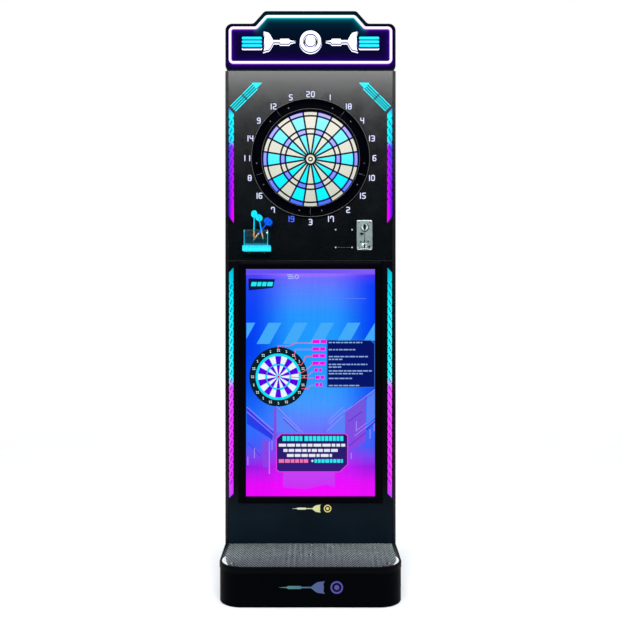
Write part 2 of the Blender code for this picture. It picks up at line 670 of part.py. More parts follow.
# ---------------------------------------------------------------- dart holder and darts
bm = bmesh.new()
x0, x1 = HOLDER_X
z0, z1 = HOLDER_Z
bmesh.ops.create_cube(bm, size=1.0)
bmesh.ops.scale(bm, vec=(x1 - x0, HOLDER_DEPTH, z1 - z0), verts=bm.verts)
lid = [f for f in bm.faces if f.normal.z > 0.9]
bmesh.ops.delete(bm, geom=lid, context="FACES")
me = bpy.data.meshes.new("dart_holder")
bm.to_mesh(me)
bm.free()
holder = bpy.data.objects.new("dart_holder", me)
holder.location = ((x0 + x1) / 2, face - HOLDER_DEPTH / 2, (z0 + z1) / 2)
link(holder, material("clear_acrylic", (0.85, 0.92, 0.95), 0.05, alpha=0.3))
shell = holder.modifiers.new("walls", "SOLIDIFY")
shell.thickness = HOLDER_WALL
shell.offset = -1.0
shell.use_even_offset = True

box("dart_holder_base", (HOLDER_BASE_X[0], face - HOLDER_DEPTH - 0.0020, HOLDER_BASE_Z[0]),
    (HOLDER_BASE_X[1], face, HOLDER_BASE_Z[1]),
    material("holder_base_cyan", (0.05, 0.75, 0.85), 0.3, emit=(0.0, 0.6, 0.7)),
    bevel=0.003, segments=2)

DART_PROFILE = [(0.0, 0.1380), (0.0012, 0.1380), (0.0024, 0.1340), (0.0024, 0.0760),
                (0.0036, 0.0730), (0.0038, 0.0320), (0.0024, 0.0270), (0.0011, 0.0230),
                (0.0005, 0.0006), (0.0, 0.0)]


def dart(name, tip, top, spin_deg, radius, color):
    direction = (Vector(top) - Vector(tip)).normalized()
    turn = direction.to_track_quat("Z", "Y").to_matrix().to_4x4()
    mat = material(name, color, 0.35, 0.3)
    ob = turned(name, DART_PROFILE, 10, mat, tip, turn.to_euler())
    for i in range(2):
        loop = [(0.0, 0.0940), (radius * 0.55, 0.0980), (radius, 0.1080), (radius, 0.1240),
                (radius * 0.86, 0.1355), (radius * 0.5, 0.1375)]
        loop += [(-x, z) for x, z in reversed(loop[1:])]
        vane = outline_curve(f"vane_{name}_{i}", [loop], 0.0010)
        bpy.context.scene.collection.objects.link(vane)
        vane = curve_to_mesh(vane)
        local = vane.data
        angle = math.radians(spin_deg + 90.0 * i)
        for v in local.vertices:
            x, z, t = v.co
            v.co = (x * math.cos(angle) - t * math.sin(angle),
                    x * math.sin(angle) + t * math.cos(angle), z)
        # the swap of axes above turns the faces over
        bm = bmesh.new()
        bm.from_mesh(local)
        bmesh.ops.recalc_face_normals(bm, faces=bm.faces)
        bm.to_mesh(local)
        bm.free()
        vane.location = tip
        vane.rotation_euler = turn.to_euler()
        link(vane, None, cutter=True)
        boolean(ob, vane, "UNION")
    return ob


FLOOR = HOLDER_Z[0] + HOLDER_WALL + 0.0005
DARTS = {
    "dart_left": ((-0.2300, -0.0980, FLOOR), (-0.2285, -0.0990, FLOOR + 0.1170), 6.0, 0.0150,
                  (0.02, 0.75, 0.85)),
    "dart_middle": ((-0.1900, -0.0715, FLOOR), (-0.2060, -0.1315, FLOOR + 0.0990), 0.0, 0.0150,
                    (0.05, 0.65, 0.85)),
    "dart_right": ((-0.2490, -0.0705, FLOOR), (-0.1755, -0.0967, FLOOR + 0.0875), 20.0, 0.0185,
                   (0.02, 0.05, 0.30)),
}
for dart_name, (tip, top, spin_deg, radius, color) in DARTS.items():
    dart(dart_name, tip, top, spin_deg, radius, color)
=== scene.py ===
import json
import math
import random

import bmesh
import bpy
from mathutils import Matrix, Vector
from mathutils.geometry import delaunay_2d_cdt

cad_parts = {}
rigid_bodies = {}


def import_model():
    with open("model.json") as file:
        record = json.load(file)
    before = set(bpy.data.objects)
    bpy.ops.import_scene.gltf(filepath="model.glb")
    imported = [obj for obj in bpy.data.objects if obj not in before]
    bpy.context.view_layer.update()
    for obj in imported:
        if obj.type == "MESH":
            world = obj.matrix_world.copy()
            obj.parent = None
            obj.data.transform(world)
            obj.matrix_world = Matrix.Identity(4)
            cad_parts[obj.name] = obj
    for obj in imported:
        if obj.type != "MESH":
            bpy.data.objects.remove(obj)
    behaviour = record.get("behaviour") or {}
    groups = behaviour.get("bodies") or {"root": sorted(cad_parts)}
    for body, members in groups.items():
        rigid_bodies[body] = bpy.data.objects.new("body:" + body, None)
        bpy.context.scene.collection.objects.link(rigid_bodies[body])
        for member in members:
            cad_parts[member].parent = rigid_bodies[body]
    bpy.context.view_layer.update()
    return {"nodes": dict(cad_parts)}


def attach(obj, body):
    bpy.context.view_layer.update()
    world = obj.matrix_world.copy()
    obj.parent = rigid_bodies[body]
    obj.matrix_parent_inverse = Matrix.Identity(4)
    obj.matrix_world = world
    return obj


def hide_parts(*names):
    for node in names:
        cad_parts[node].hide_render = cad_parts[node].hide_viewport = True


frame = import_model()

NODES = frame["nodes"]
SCENE = bpy.context.scene
BODY = "machine"

# ---------------------------------------------------------------- sizes the CAD part has
CAB_HALF = 0.3490
Y_STEP, Y_BACK, Y_CAB, Y_FACE = -0.3535, 0.3535, -0.0665, -0.0645
SIDE_T, GAP = 0.0120, 0.0003
INNER_HALF = CAB_HALF - SIDE_T - GAP
PLINTH_H, PLINTH_INSET, PLINTH_WALL, STEP_R = 0.1465, 0.0018, 0.0180, 0.0900
STEP_TOP, TRIM_W, TRIM_LEG = 0.1505, 0.0080, 0.0220
CAB_TOP, SPLIT_Z, BULL_Z = 2.0850, 1.3040, 1.7270
SEG_FRONT, SEG_WEB_FRONT, SEG_WEB_BACK = 0.0445, 0.0337, 0.0312
SPIDER_FRONT, SPIDER_BACK, SPIDER_R = 0.0460, 0.0340, 0.2055
BAR_HALF, SEG_CLEAR = 0.0009, 0.0003
CELLS = ((0.0215, 0.1030), (0.1048, 0.1240), (0.1258, 0.1777), (0.1795, 0.1967))
ZONES = ("inner", "triple", "outer", "double")
ORDER = (20, 1, 18, 4, 13, 6, 10, 15, 2, 17, 3, 19, 7, 16, 8, 11, 14, 9, 12, 5)
SIGN = [(-CAB_HALF, CAB_TOP + GAP, 0.022), (CAB_HALF, CAB_TOP + GAP, 0.022),
        (CAB_HALF, 2.2785, 0.028), (0.2340, 2.2785, 0.020), (0.1880, 2.3300, 0.018),
        (-0.1880, 2.3300, 0.018), (-0.2340, 2.2785, 0.020), (-CAB_HALF, 2.2785, 0.028)]
TUBE = [(-0.3288, 2.1165, 0.014), (0.3288, 2.1165, 0.014), (0.3288, 2.2577, 0.014),
        (0.2215, 2.2577, 0.014), (0.1795, 2.3045, 0.014), (-0.1795, 2.3045, 0.014),
        (-0.2215, 2.2577, 0.014), (-0.3288, 2.2577, 0.014)]
WIN_HALF, WIN_Z = 0.2645, (0.3400, 1.2720)
COIN_X, COIN_Z, BOSS_Z = 0.2214, 1.4117, 1.4433
HOLDER_X, HOLDER_Z = (-0.2687, -0.1721), (1.3683, 1.4292)


# ---------------------------------------------------------------- colours and materials
def lin(r, g, b):
    out = []
    for c in (r, g, b):
        c /= 255.0
        out.append(c / 12.92 if c <= 0.04045 else ((c + 0.055) / 1.055) ** 2.4)
    return tuple(out)


class Mat:
    """A Principled material with short ways to add nodes."""

    def __init__(self, name, **values):
        self.m = bpy.data.materials.new(name)
        self.m.use_nodes = True
        self.nt = self.m.node_tree
        self.p = next(n for n in self.nt.nodes if n.type == "BSDF_PRINCIPLED")
        self._coord = None
        self._xyz = None
        for key, value in values.items():
            self.const(key.replace("_", " "), value)

    def const(self, socket, value):
        s = self.p.inputs[socket]
        s.default_value = (*value, 1.0) if s.type == "RGBA" else value

    def node(self, kind, **props):
        n = self.nt.nodes.new("ShaderNode" + kind)
        for key, value in props.items():
            setattr(n, key, value)
        return n

    def feed(self, socket, value):
        """A socket takes a link, a colour or a number."""
        if isinstance(value, bpy.types.NodeSocket):
            self.nt.links.new(value, socket)
        elif hasattr(value, "__len__"):
            socket.default_value = (*value, 1.0) if len(value) == 3 and socket.type == "RGBA" else value
        else:
            socket.default_value = value

    @property
    def coord(self):
        if self._coord is None:
            self._coord = self.node("TexCoord").outputs["Object"]
        return self._coord

    @property
    def xyz(self):
        if self._xyz is None:
            n = self.node("SeparateXYZ")
            self.feed(n.inputs[0], self.coord)
            self._xyz = n.outputs
        return self._xyz

    def attr(self, name):
        return self.node("Attribute", attribute_name=name).outputs["Fac"]

    def scaled(self, x, y, z):
        n = self.node("Mapping")
        self.feed(n.inputs["Vector"], self.coord)
        n.inputs["Scale"].default_value = (x, y, z)
        return n.outputs[0]

    def noise(self, scale, detail=3.0, rough=0.55, vec=None):
        n = self.node("TexNoise")
        self.feed(n.inputs["Vector"], vec if vec is not None else self.coord)
        n.inputs["Scale"].default_value = scale
        n.inputs["Detail"].default_value = detail
        n.inputs["Roughness"].default_value = rough
        return n.outputs["Fac"]

    def voronoi(self, scale, vec=None, feature="F1"):
        n = self.node("TexVoronoi", feature=feature)
        self.feed(n.inputs["Vector"], vec if vec is not None else self.coord)
        n.inputs["Scale"].default_value = scale
        return n.outputs["Distance"]

    def math(self, op, a, b=0.0, clamp=False):
        n = self.node("Math", operation=op, use_clamp=clamp)
        self.feed(n.inputs[0], a)
        self.feed(n.inputs[1], b)
        return n.outputs[0]

    def remap(self, value, a, b, c, d, smooth=False):
        n = self.node("MapRange", interpolation_type="SMOOTHSTEP" if smooth else "LINEAR")
        self.feed(n.inputs["Value"], value)
        for key, x in zip(("From Min", "From Max", "To Min", "To Max"), (a, b, c, d)):
            n.inputs[key].default_value = x
        return n.outputs["Result"]

    def ramp(self, value, stops, interpolation="LINEAR"):
        n = self.node("ValToRGB")
        r = n.color_ramp
        r.interpolation = interpolation
        while len(r.elements) < len(stops):
            r.elements.new(0.5)
        for e, (at, colour) in zip(r.elements, stops):
            e.position = at
            e.color = (*colour, 1.0)
        self.feed(n.inputs["Fac"], value)
        return n.outputs["Color"]

    def mix(self, fac, a, b, blend="MIX"):
        n = self.node("Mix", data_type="RGBA", blend_type=blend)
        n.clamp_factor = True
        self.feed(n.inputs["Factor"], fac)
        self.feed(n.inputs[6], a)
        self.feed(n.inputs[7], b)
        return n.outputs[2]

    def bump(self, height, distance, strength=1.0, normal=None):
        n = self.node("Bump")
        n.inputs["Strength"].default_value = strength
        n.inputs["Distance"].default_value = distance
        self.feed(n.inputs["Height"], height)
        if normal is not None:
            self.feed(n.inputs["Normal"], normal)
        self.feed(self.p.inputs["Normal"], n.outputs[0])
        return n.outputs[0]

    def link(self, socket, value):
        self.feed(self.p.inputs[socket], value)
        return self


def plastic(name, colour, rough, spec=0.5, grain=1400.0, depth=0.00003, vary=0.25, **more):
    """Moulded or painted black surfaces: fine grain, slow colour and gloss changes."""
    m = Mat(name, Specular_IOR_Level=spec, **more)
    slow = m.noise(5.0, 4.0)
    dark = tuple(c * (1 - vary) for c in colour)
    light = tuple(c * (1 + vary) for c in colour)
    m.link("Base Color", m.mix(m.remap(slow, 0.3, 0.7, 0, 1), dark, light))
    fine = m.noise(grain, 2.0)
    smudge = m.noise(14.0, 5.0, 0.6)
    r = m.math("ADD", m.remap(smudge, 0.3, 0.7, rough * 0.88, rough * 1.1),
               m.remap(fine, 0.3, 0.7, -0.03, 0.03))
    m.link("Roughness", r)
    m.bump(fine, depth)
    return m.m


def metal(name, colour, rough, stretch=(1, 1, 1), scale=900.0, depth=0.00002, vary=0.12):
    """Brushed or cast metal; stretch runs the brush lines along the small axis."""
    m = Mat(name, Metallic=1.0)
    vec = m.scaled(*stretch)
    lines = m.noise(scale, 3.0, 0.6, vec)
    slow = m.noise(30.0, 4.0)
    dark = tuple(c * (1 - vary) for c in colour)
    light = tuple(min(c * (1 + vary), 1.0) for c in colour)
    m.link("Base Color", m.mix(m.remap(slow, 0.3, 0.7, 0, 1), dark, light))
    m.link("Roughness", m.remap(lines, 0.25, 0.75, rough * 0.75, rough * 1.3))
    m.bump(lines, depth)
    return m.m


def lit(name, colour_fn, strength, rough=0.35, spec=0.3, base=0.35):
    """A surface with its own light from a node pattern: backlit parts use it, and so do painted highlights and painted
    glows on parts that are no lamps.
    """
    m = Mat(name, Roughness=max(rough, 0.3), Specular_IOR_Level=spec * 0.25, Emission_Strength=strength)
    colour = colour_fn(m)
    m.link("Emission Color", colour)
    m.link("Base Color", m.mix(base * 0.30, (0.0004, 0.0006, 0.001), colour))
    return m.m


# ---------------------------------------------------------------- geometry helpers
def rounded(corners, segments=8):
    out = []
    count = len(corners)
    for i, (x, y, r) in enumerate(corners):
        p = Vector((x, y))
        if r <= 0:
            out.append((x, y))
            continue
        u = (Vector(corners[i - 1][:2]) - p).normalized()
        v = (Vector(corners[(i + 1) % count][:2]) - p).normalized()
        theta = u.angle(v)
        centre = p + (u + v).normalized() * (r / math.sin(theta / 2))
        t = r / math.tan(theta / 2)
        start, end = p + u * t - centre, p + v * t - centre
        a0 = math.atan2(start.y, start.x)
        turn = math.atan2(end.y, end.x) - a0
        turn = (turn + math.pi) % (2 * math.pi) - math.pi
        for k in range(segments + 1):
            a = a0 + turn * k / segments
            out.append((centre.x + r * math.cos(a), centre.y + r * math.sin(a)))
    return out


def inset(corners, d):
    """The corners of an anticlockwise polygon moved inwards by d."""
    count = len(corners)
    out = []
    for i, (x, y, r) in enumerate(corners):
        p = Vector((x, y))
        a = (p - Vector(corners[i - 1][:2])).normalized()
        b = (Vector(corners[(i + 1) % count][:2]) - p).normalized()
        na, nb = Vector((-a.y, a.x)), Vector((-b.y, b.x))
        cross = a.x * b.y - a.y * b.x
        q = p + (na + nb) * (d / (1.0 + na.dot(nb)))
        out.append((q.x, q.y, max(r - d, 0.0) if cross > 0 else r + d))
    return out


def rect(x0, x1, z0, z1, r=0.0, segments=6):
    return rounded([(x0, z0, r), (x1, z0, r), (x1, z1, r), (x0, z1, r)], segments)


def circle(radius, count=32, x=0.0, z=0.0, phase=0.0):
    return [(x + radius * math.cos(2 * math.pi * k / count + phase),
             z + radius * math.sin(2 * math.pi * k / count + phase)) for k in range(count)]


def tidy(me):
    bm = bmesh.new()
    bm.from_mesh(me)
    bmesh.ops.recalc_face_normals(bm, faces=bm.faces)
    bm.to_mesh(me)
    bm.free()


def piece(name, me, mats, body=BODY, slot=None, smooth=35.0, replaces=(), clean=True):
    if clean:
        tidy(me)
    for mat in (mats if isinstance(mats, (list, tuple)) else [mats]):
        me.materials.append(mat)
    if smooth:
        me.shade_smooth()
        me.set_sharp_from_angle(angle=math.radians(smooth))
    ob = bpy.data.objects.new(name, me)
    SCENE.collection.objects.link(ob)
    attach(ob, body)
    if replaces:
        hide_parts(*replaces)
    return ob


class Lump:
    """Closed pieces of mesh gathered into one."""

    def __init__(self):
        self.v, self.f, self.mi = [], [], []

    def add(self, part, mi=0, matrix=None):
        verts, faces = part
        at = len(self.v)
        self.v += [tuple(matrix @ Vector(p)) for p in verts] if matrix is not None else list(verts)
        self.f += [tuple(i + at for i in f) for f in faces]
        self.mi += [mi] * len(faces)
        return self

    def mesh(self, name):
        me = bpy.data.meshes.new(name)
        me.from_pydata(self.v, [], self.f)
        me.polygons.foreach_set("material_index", self.mi)
        me.update()
        return me


def stack(loops, cap_first=True, cap_last=True, closed=False, ring=True):
    """Faces between loops of equal length, each a list of 3-D points."""
    n = len(loops[0])
    verts = [p for loop in loops for p in loop]
    faces = []
    pairs = list(zip(range(len(loops) - 1), range(1, len(loops))))
    if closed:
        pairs.append((len(loops) - 1, 0))
    for a, b in pairs:
        for i in range(n if ring else n - 1):
            j = (i + 1) % n
            faces.append((a * n + i, a * n + j, b * n + j, b * n + i))
    if not closed:
        if cap_first:
            faces.append(tuple(range(n - 1, -1, -1)))
        if cap_last:
            faces.append(tuple((len(loops) - 1) * n + i for i in range(n)))
    elif not ring:
        faces.append(tuple(k * n for k in range(len(loops))))
        faces.append(tuple(k * n + n - 1 for k in reversed(range(len(loops)))))
    return verts, faces


def prism(loop, y0, y1):
    """A plate drawn in the front view, x to the right and z up."""
    return stack([[(x, y0, z) for x, z in loop], [(x, y1, z) for x, z in loop]])


def slab(loop, y_front, y_back, edge):
    """A prism whose front edge is eased, for convex outlines."""
    cx = sum(p[0] for p in loop) / len(loop)
    cz = sum(p[1] for p in loop) / len(loop)
    rx = max(abs(p[0] - cx) for p in loop)
    rz = max(abs(p[1] - cz) for p in loop)
    loops = []
    for t in (1.0, 0.55, 0.2, 0.0):
        d = edge * (1 - math.sqrt(max(0.0, 1 - t * t)))
        y = y_front + edge * (1 - t) if t else y_front + edge
        d = edge * t if t == 1.0 else edge * (1 - math.cos(math.asin(t)))
        loops.append([(cx + (x - cx) * (1 - d / rx), y if t else y_front + edge,
                       cz + (z - cz) * (1 - d / rz)) for x, z in loop])
    loops.append([(x, y_back, z) for x, z in loop])
    return stack(loops)


def lathe(profile, steps=32, sides=None):
    """A solid of revolution about Z. The profile runs from the axis to the axis, or closes on itself."""
    verts, faces, rows = [], [], []
    closed = profile[0] == profile[-1] and profile[0][0] > 0
    pts = profile[:-1] if closed else profile
    for i, (r, z) in enumerate(pts):
        if r <= 1e-9:
            rows.append([len(verts)])
            verts.append((0.0, 0.0, z))
        else:
            row = []
            for k in range(steps):
                a = 2 * math.pi * k / steps
                rr = r
                if sides and i in sides:
                    w = math.pi / sides[i]
                    rr = r * math.cos(w) / math.cos((a % (2 * w)) - w)
                row.append(len(verts))
                verts.append((rr * math.cos(a), rr * math.sin(a), z))
            rows.append(row)
    pairs = list(zip(rows, rows[1:]))
    if closed:
        pairs.append((rows[-1], rows[0]))
    for a, b in pairs:
        for k in range(steps):
            j = (k + 1) % steps
            if len(a) == 1:
                faces.append((a[0], b[k], b[j]))
            elif len(b) == 1:
                faces.append((a[k], b[0], a[j]))
            else:
                faces.append((a[k], b[k], b[j], a[j]))
    return verts, faces


def tube(points, radius, sides=10, closed=False, flat=1.0, side_axis=None):
    """A round bar along 3-D points, its ends domed. flat squeezes it across side_axis."""
    pts = [Vector(p) for p in points]
    n = len(pts)
    tangents = []
    for i in range(n):
        a = pts[i - 1] if (i > 0 or closed) else pts[i]
        b = pts[(i + 1) % n] if (i < n - 1 or closed) else pts[i]
        tangents.append((b - a).normalized())
    ref = Vector(side_axis) if side_axis else Vector((0, 1, 0))
    loops = []

    def ring(p, t, r, shift=0.0):
        u = ref - t * ref.dot(t)
        if u.length < 1e-6:
            u = Vector((1, 0, 0)) - t * t.x
        u.normalize()
        w = t.cross(u)
        c = p + t * shift
        return [tuple(c + u * (r * flat * math.cos(2 * math.pi * k / sides))
                      + w * (r * math.sin(2 * math.pi * k / sides))) for k in range(sides)]

    if not closed:
        for s in (0.95, 0.6):
            loops.append(ring(pts[0], tangents[0], radius * math.sqrt(1 - s * s), -radius * s))
    for i in range(n):
        scale = 1.0
        if 0 < i < n - 1 or closed:
            a = (pts[i] - pts[i - 1]).normalized()
            b = (pts[(i + 1) % n] - pts[i]).normalized()
            half = a.angle(b, 0.0) / 2
            scale = 1 / max(math.cos(half), 0.5)
        t = tangents[i]
        u = ref - t * ref.dot(t)
        if u.length < 1e-6:
            u = Vector((1, 0, 0)) - t * t.x
        u.normalize()
        w = t.cross(u)
        loops.append([tuple(pts[i] + u * (radius * flat * math.cos(2 * math.pi * k / sides))
                            + w * (radius * scale * math.sin(2 * math.pi * k / sides)))
                      for k in range(sides)])
    if not closed:
        for s in (0.6, 0.95):
            loops.append(ring(pts[-1], tangents[-1], radius * math.sqrt(1 - s * s), radius * s))
    return stack(loops, closed=closed)


def plate_mesh(name, loops, y_front, thickness, bevel=0.0, steps=2):
    """A plate with holes and eased edges, drawn in the front view."""
    cu = bpy.data.curves.new(name, "CURVE")
    cu.dimensions = "2D"
    cu.fill_mode = "BOTH"
    cu.extrude = thickness / 2 - bevel
    if bevel:
        cu.bevel_depth = bevel
        cu.bevel_resolution = steps
        cu.offset = -bevel
    for loop in loops:
        sp = cu.splines.new("POLY")
        sp.points.add(len(loop) - 1)
        for point, (x, y) in zip(sp.points, loop):
            point.co = (x, y, 0.0, 1.0)
        sp.use_cyclic_u = True
    ob = bpy.data.objects.new(name, cu)
    me = bpy.data.meshes.new_from_object(ob)
    bpy.data.objects.remove(ob)
    bpy.data.curves.remove(cu)
    me.name = name
    bm = bmesh.new()
    bm.from_mesh(me)
    bmesh.ops.remove_doubles(bm, verts=bm.verts, dist=2e-6)
    mid = y_front + thickness / 2
    for v in bm.verts:
        x, y, z = v.co
        v.co = (x, mid - z, y)
    bmesh.ops.recalc_face_normals(bm, faces=bm.faces)
    bm.to_mesh(me)
    bm.free()
    me.materials.clear()
    return me


def plate(name, loops, y_front, thickness, mat, bevel=0.0, steps=2, **more):
    return piece(name, plate_mesh(name, loops, y_front, thickness, bevel, steps), mat, clean=False, **more)


def facing(x, z, y):
    """Local Z points at the player, the origin at (x, y, z)."""
    return Matrix.Translation((x, y, z)) @ Matrix.Rotation(math.pi / 2, 4, "X")


def facing_back(x, z, y):
    return Matrix.Translation((x, y, z)) @ Matrix.Rotation(-math.pi / 2, 4, "X")


def upward(x, y, z):
    return Matrix.Translation((x, y, z))


def screw_head(r, h, socket=6):
    """A button head with a recess; its seat is at z = 0."""
    s = r * 0.46
    profile = [(0.0, h * 0.35), (s * 0.7, h * 0.35), (s, h * 0.45), (s, h), (r * 0.62, h),
               (r * 0.86, h * 0.78), (r * 0.97, h * 0.45), (r, h * 0.12), (r, -0.0006), (0.0, -0.0006)]
    return lathe(profile, 24, {1: socket, 2: socket, 3: socket})


def polar(radius, angle):
    return (radius * math.sin(angle), radius * math.cos(angle))


def board(x, y, z):
    """From the board's own front view to the row frame."""
    return (x, -z, y + BULL_Z)


def dress(names, mat):
    for name in names if isinstance(names, (list, tuple)) else [names]:
        ob = NODES[name]
        if not ob.material_slots:
            ob.data.materials.append(mat)
        for s in ob.material_slots:
            s.material = mat


def srgb_ramp(stops):
    return [(at, lin(*c)) for at, c in stops]


# ---------------------------------------------------------------- shared materials
LAMINATE = plastic("laminate", (0.0050, 0.0052, 0.0062), 0.42, 0.25, grain=1100.0, depth=0.00008)
EDGE_BAND = plastic("edge_band", (0.0030, 0.0034, 0.0042), 0.30, 0.22, grain=600.0)
GLOSS = plastic("front_gloss", (0.0003, 0.0016, 0.0028), 0.190, 0.52, grain=240.0, depth=0.00001)
KICK = plastic("front_lower", (0.0030, 0.0080, 0.0140), 0.40, 0.05, grain=240.0, depth=0.00001)


def fade(mat, axis, v0, v1, factor):
    """Let the base colour run over to another one along an axis: a painted fall-off of light and shade."""
    nt = mat.node_tree
    p = next(n for n in nt.nodes if n.type == "BSDF_PRINCIPLED")
    tc, sep = nt.nodes.new("ShaderNodeTexCoord"), nt.nodes.new("ShaderNodeSeparateXYZ")
    nt.links.new(tc.outputs["Object"], sep.inputs[0])
    r = nt.nodes.new("ShaderNodeMapRange")
    nt.links.new(sep.outputs[axis], r.inputs["Value"])
    for key_name, value in zip(("From Min", "From Max", "To Min", "To Max"), (v0, v1, 0.0, 1.0)):
        r.inputs[key_name].default_value = value
    mix = nt.nodes.new("ShaderNodeMix")
    mix.data_type = "RGBA"
    old = p.inputs["Base Color"].links[0].from_socket
    nt.links.new(r.outputs["Result"], mix.inputs["Factor"])
    nt.links.new(old, mix.inputs[6])
    mix.inputs[7].default_value = (*factor, 1.0)
    nt.links.new(mix.outputs[2], p.inputs["Base Color"])


# painted light: the lower front keeps a lighter blue below 0.26 m near the step and runs darker up to 0.40 m
fade(KICK, "Z", 0.26, 0.40, (0.0006, 0.0007, 0.0022))
SATIN = plastic("plinth_satin", (0.0002, 0.0006, 0.0013), 0.42, 0.014, grain=900.0, depth=0.00003)
TRIM = plastic("trim_black", (0.0007, 0.0009, 0.0014), 0.36, 0.03, grain=700.0)
BLACK = plastic("black_plastic", (0.0005, 0.0006, 0.0018), 0.38, 0.025)
SPIDER = plastic("spider_plastic", (0.0008, 0.0008, 0.0020), 0.42, 0.05, grain=2200.0)
RING = plastic("surround_plastic", (0.0003, 0.0005, 0.0018), 0.42, 0.006, grain=1600.0, depth=0.00005)
RUBBER = plastic("mat_rubber", (0.015, 0.015, 0.016), 0.8, 0.3, grain=700.0)
SIGN_BLACK = plastic("sign_housing", (0.0010, 0.0012, 0.0026), 0.34, 0.08, grain=500.0)
STEEL = metal("screw_steel", (0.66, 0.66, 0.68), 0.28, scale=1500.0)
DARK_STEEL = metal("screw_black", (0.10, 0.10, 0.11), 0.35, scale=1500.0)
ZINC = metal("coin_zinc", (0.43, 0.545, 0.535), 0.34, stretch=(1, 1, 12), scale=260.0, depth=0.00006)
ZINC_DARK = metal("coin_shadow", (0.03, 0.03, 0.03), 0.5, scale=600.0)
CHROME = metal("lock_chrome", (0.78, 0.78, 0.80), 0.12, scale=900.0)
# painted dark reflection: the aluminium between the lugs is near-black, while the lugs keep a light aluminium colour
ALU = metal("chequer_aluminium", (0.020, 0.027, 0.029), 0.45, stretch=(1, 6, 1), scale=320.0, vary=0.30)
ALU_LUG = metal("chequer_lug", (0.60, 0.70, 0.68), 0.30, stretch=(1, 1, 1), scale=900.0, vary=0.2)
GREY_BOX = plastic("controller_paint", (0.16, 0.165, 0.17), 0.5, 0.4, grain=900.0)
BRASS = metal("dart_brass", (0.80, 0.56, 0.26), 0.25, stretch=(1, 1, 8), scale=700.0)

# ---------------------------------------------------------------- plinth, step and tread
def plan(d, y_end, segments=24):
    """The step's plan outline, set in by d: from the back on the left, round the front, to the back."""
    h, y0, r = CAB_HALF - d, Y_STEP + d, STEP_R - d
    arcs = rounded([(-h, y0, r), (h, y0, r), (h, y_end, 0.0), (-h, y_end, 0.0)], segments)
    return [arcs[-1]] + arcs[:-1]


REAR = Y_BACK - 0.0022
outer_steps = [(0.0030, 0.0), (0.0012, 0.0008), (0.0, 0.0026), (0.0, 0.144), (0.0, PLINTH_H)]
loops = [[(x, y, z) for x, y in plan(PLINTH_INSET + d, REAR - d)] for d, z in outer_steps]
inner_loops = [[(x, y, z) for x, y in plan(PLINTH_INSET + PLINTH_WALL, REAR - PLINTH_WALL)]
               for z in (PLINTH_H - PLINTH_WALL, 0.0)]
body_mesh = Lump().add(stack([inner_loops[0], inner_loops[1], *loops]))
me = body_mesh.mesh("base_plinth_shell")
tidy(me)
shell = bpy.data.objects.new("plinth_tmp", me)
SCENE.collection.objects.link(shell)
cut_me = Lump().add(prism(rect(0.2359, 0.2641, 0.0678, 0.0882), REAR - 0.03, REAR + 0.01)).mesh("cut")
tidy(cut_me)
cutter = bpy.data.objects.new("cut_tmp", cut_me)
SCENE.collection.objects.link(cutter)
mod = shell.modifiers.new("cut", "BOOLEAN")
mod.object = cutter
mod.solver = "EXACT"
bpy.context.view_layer.update()
done = bpy.data.meshes.new_from_object(shell.evaluated_get(bpy.context.evaluated_depsgraph_get()))
done.name = "base_plinth_shell"
bpy.data.objects.remove(shell)
bpy.data.objects.remove(cutter)
piece("base_plinth_shell", done, SATIN, slot="plinth", replaces=["base_plinth"], smooth=30, clean=False)

T_END = Y_CAB - 0.0005
trim_profile = [(0.0, STEP_TOP - TRIM_LEG), (0.0, 0.1474), (0.0005, 0.1489), (0.0016, 0.1500),
                (0.0030, STEP_TOP), (0.0066, STEP_TOP), (0.0077, 0.1500), (TRIM_W, 0.1493),
                (TRIM_W, 0.1468), (0.0015, 0.1468), (0.0015, STEP_TOP - TRIM_LEG)]
trim_loops = [[(x, y, z) for x, y in plan(d, T_END)] for d, z in trim_profile]
piece("step_nosing", Lump().add(stack(trim_loops, closed=True, ring=False)).mesh("step_nosing"), TRIM,
      slot="trim", replaces=["step_edge_trim"], smooth=40)

dress("tread_plate", ALU)


def inside_plan(x, y, margin):
    h, y0, r = CAB_HALF - margin, Y_STEP + margin, max(STEP_R - margin, 0.001)
    if abs(x) > h or y < y0 or y > T_END - (margin - TRIM_W):
        return False
    if abs(x) > h - r and y < y0 + r:
        return math.hypot(abs(x) - (h - r), y - (y0 + r)) <= r
    return True


TREAD_TOP = 0.1498
lugs = Lump()
PITCH = 0.0108
rows = int((T_END - Y_STEP) / PITCH) + 1
cols = int(CAB_HALF / PITCH) + 1
TREAD_SCREWS = [(-0.322, -0.0850), (0.003, -0.0850), (0.276, -0.0760), (0.326, -0.0900), (0.001, -0.2080),
                (-0.300, -0.3060), (0.300, -0.3060)]
for j in range(rows):
    for i in range(-cols, cols + 1):
        x, y = (i + 0.5 * (j % 2)) * PITCH, Y_STEP + (j + 0.5) * PITCH
        if not inside_plan(x, y, 0.0145):
            continue
        if any(math.hypot(x - sx, y - sy) < 0.0085 for sx, sy in TREAD_SCREWS):
            continue
        a = math.radians(42 if (i + j) % 2 else -42)
        ca, sa = math.cos(a), math.sin(a)
        loops = []
        for scale, z in ((1.0, TREAD_TOP - 0.0002), (0.93, TREAD_TOP + 0.0005), (0.62, TREAD_TOP + 0.00095)):
            loop = []
            for k in range(8):
                t = 2 * math.pi * (k + 0.5) / 8
                lx = 0.0055 * (scale if scale == 1.0 else scale * 0.96) * math.cos(t)
                ly = 0.0019 * scale * math.sin(t)
                loop.append((x + lx * ca - ly * sa, y + lx * sa + ly * ca, z))
            loops.append(loop)
        lugs.add(stack(loops, cap_first=True))
# painted shade: the lugs and the plate between them run darker towards the tread's front edge
fade(ALU_LUG, "Y", -0.20, -0.345, (0.27, 0.32, 0.34))
fade(ALU, "Y", -0.20, -0.345, (0.012, 0.015, 0.018))
piece("tread_chequer", lugs.mesh("tread_chequer"), ALU_LUG, slot="tread", smooth=55)
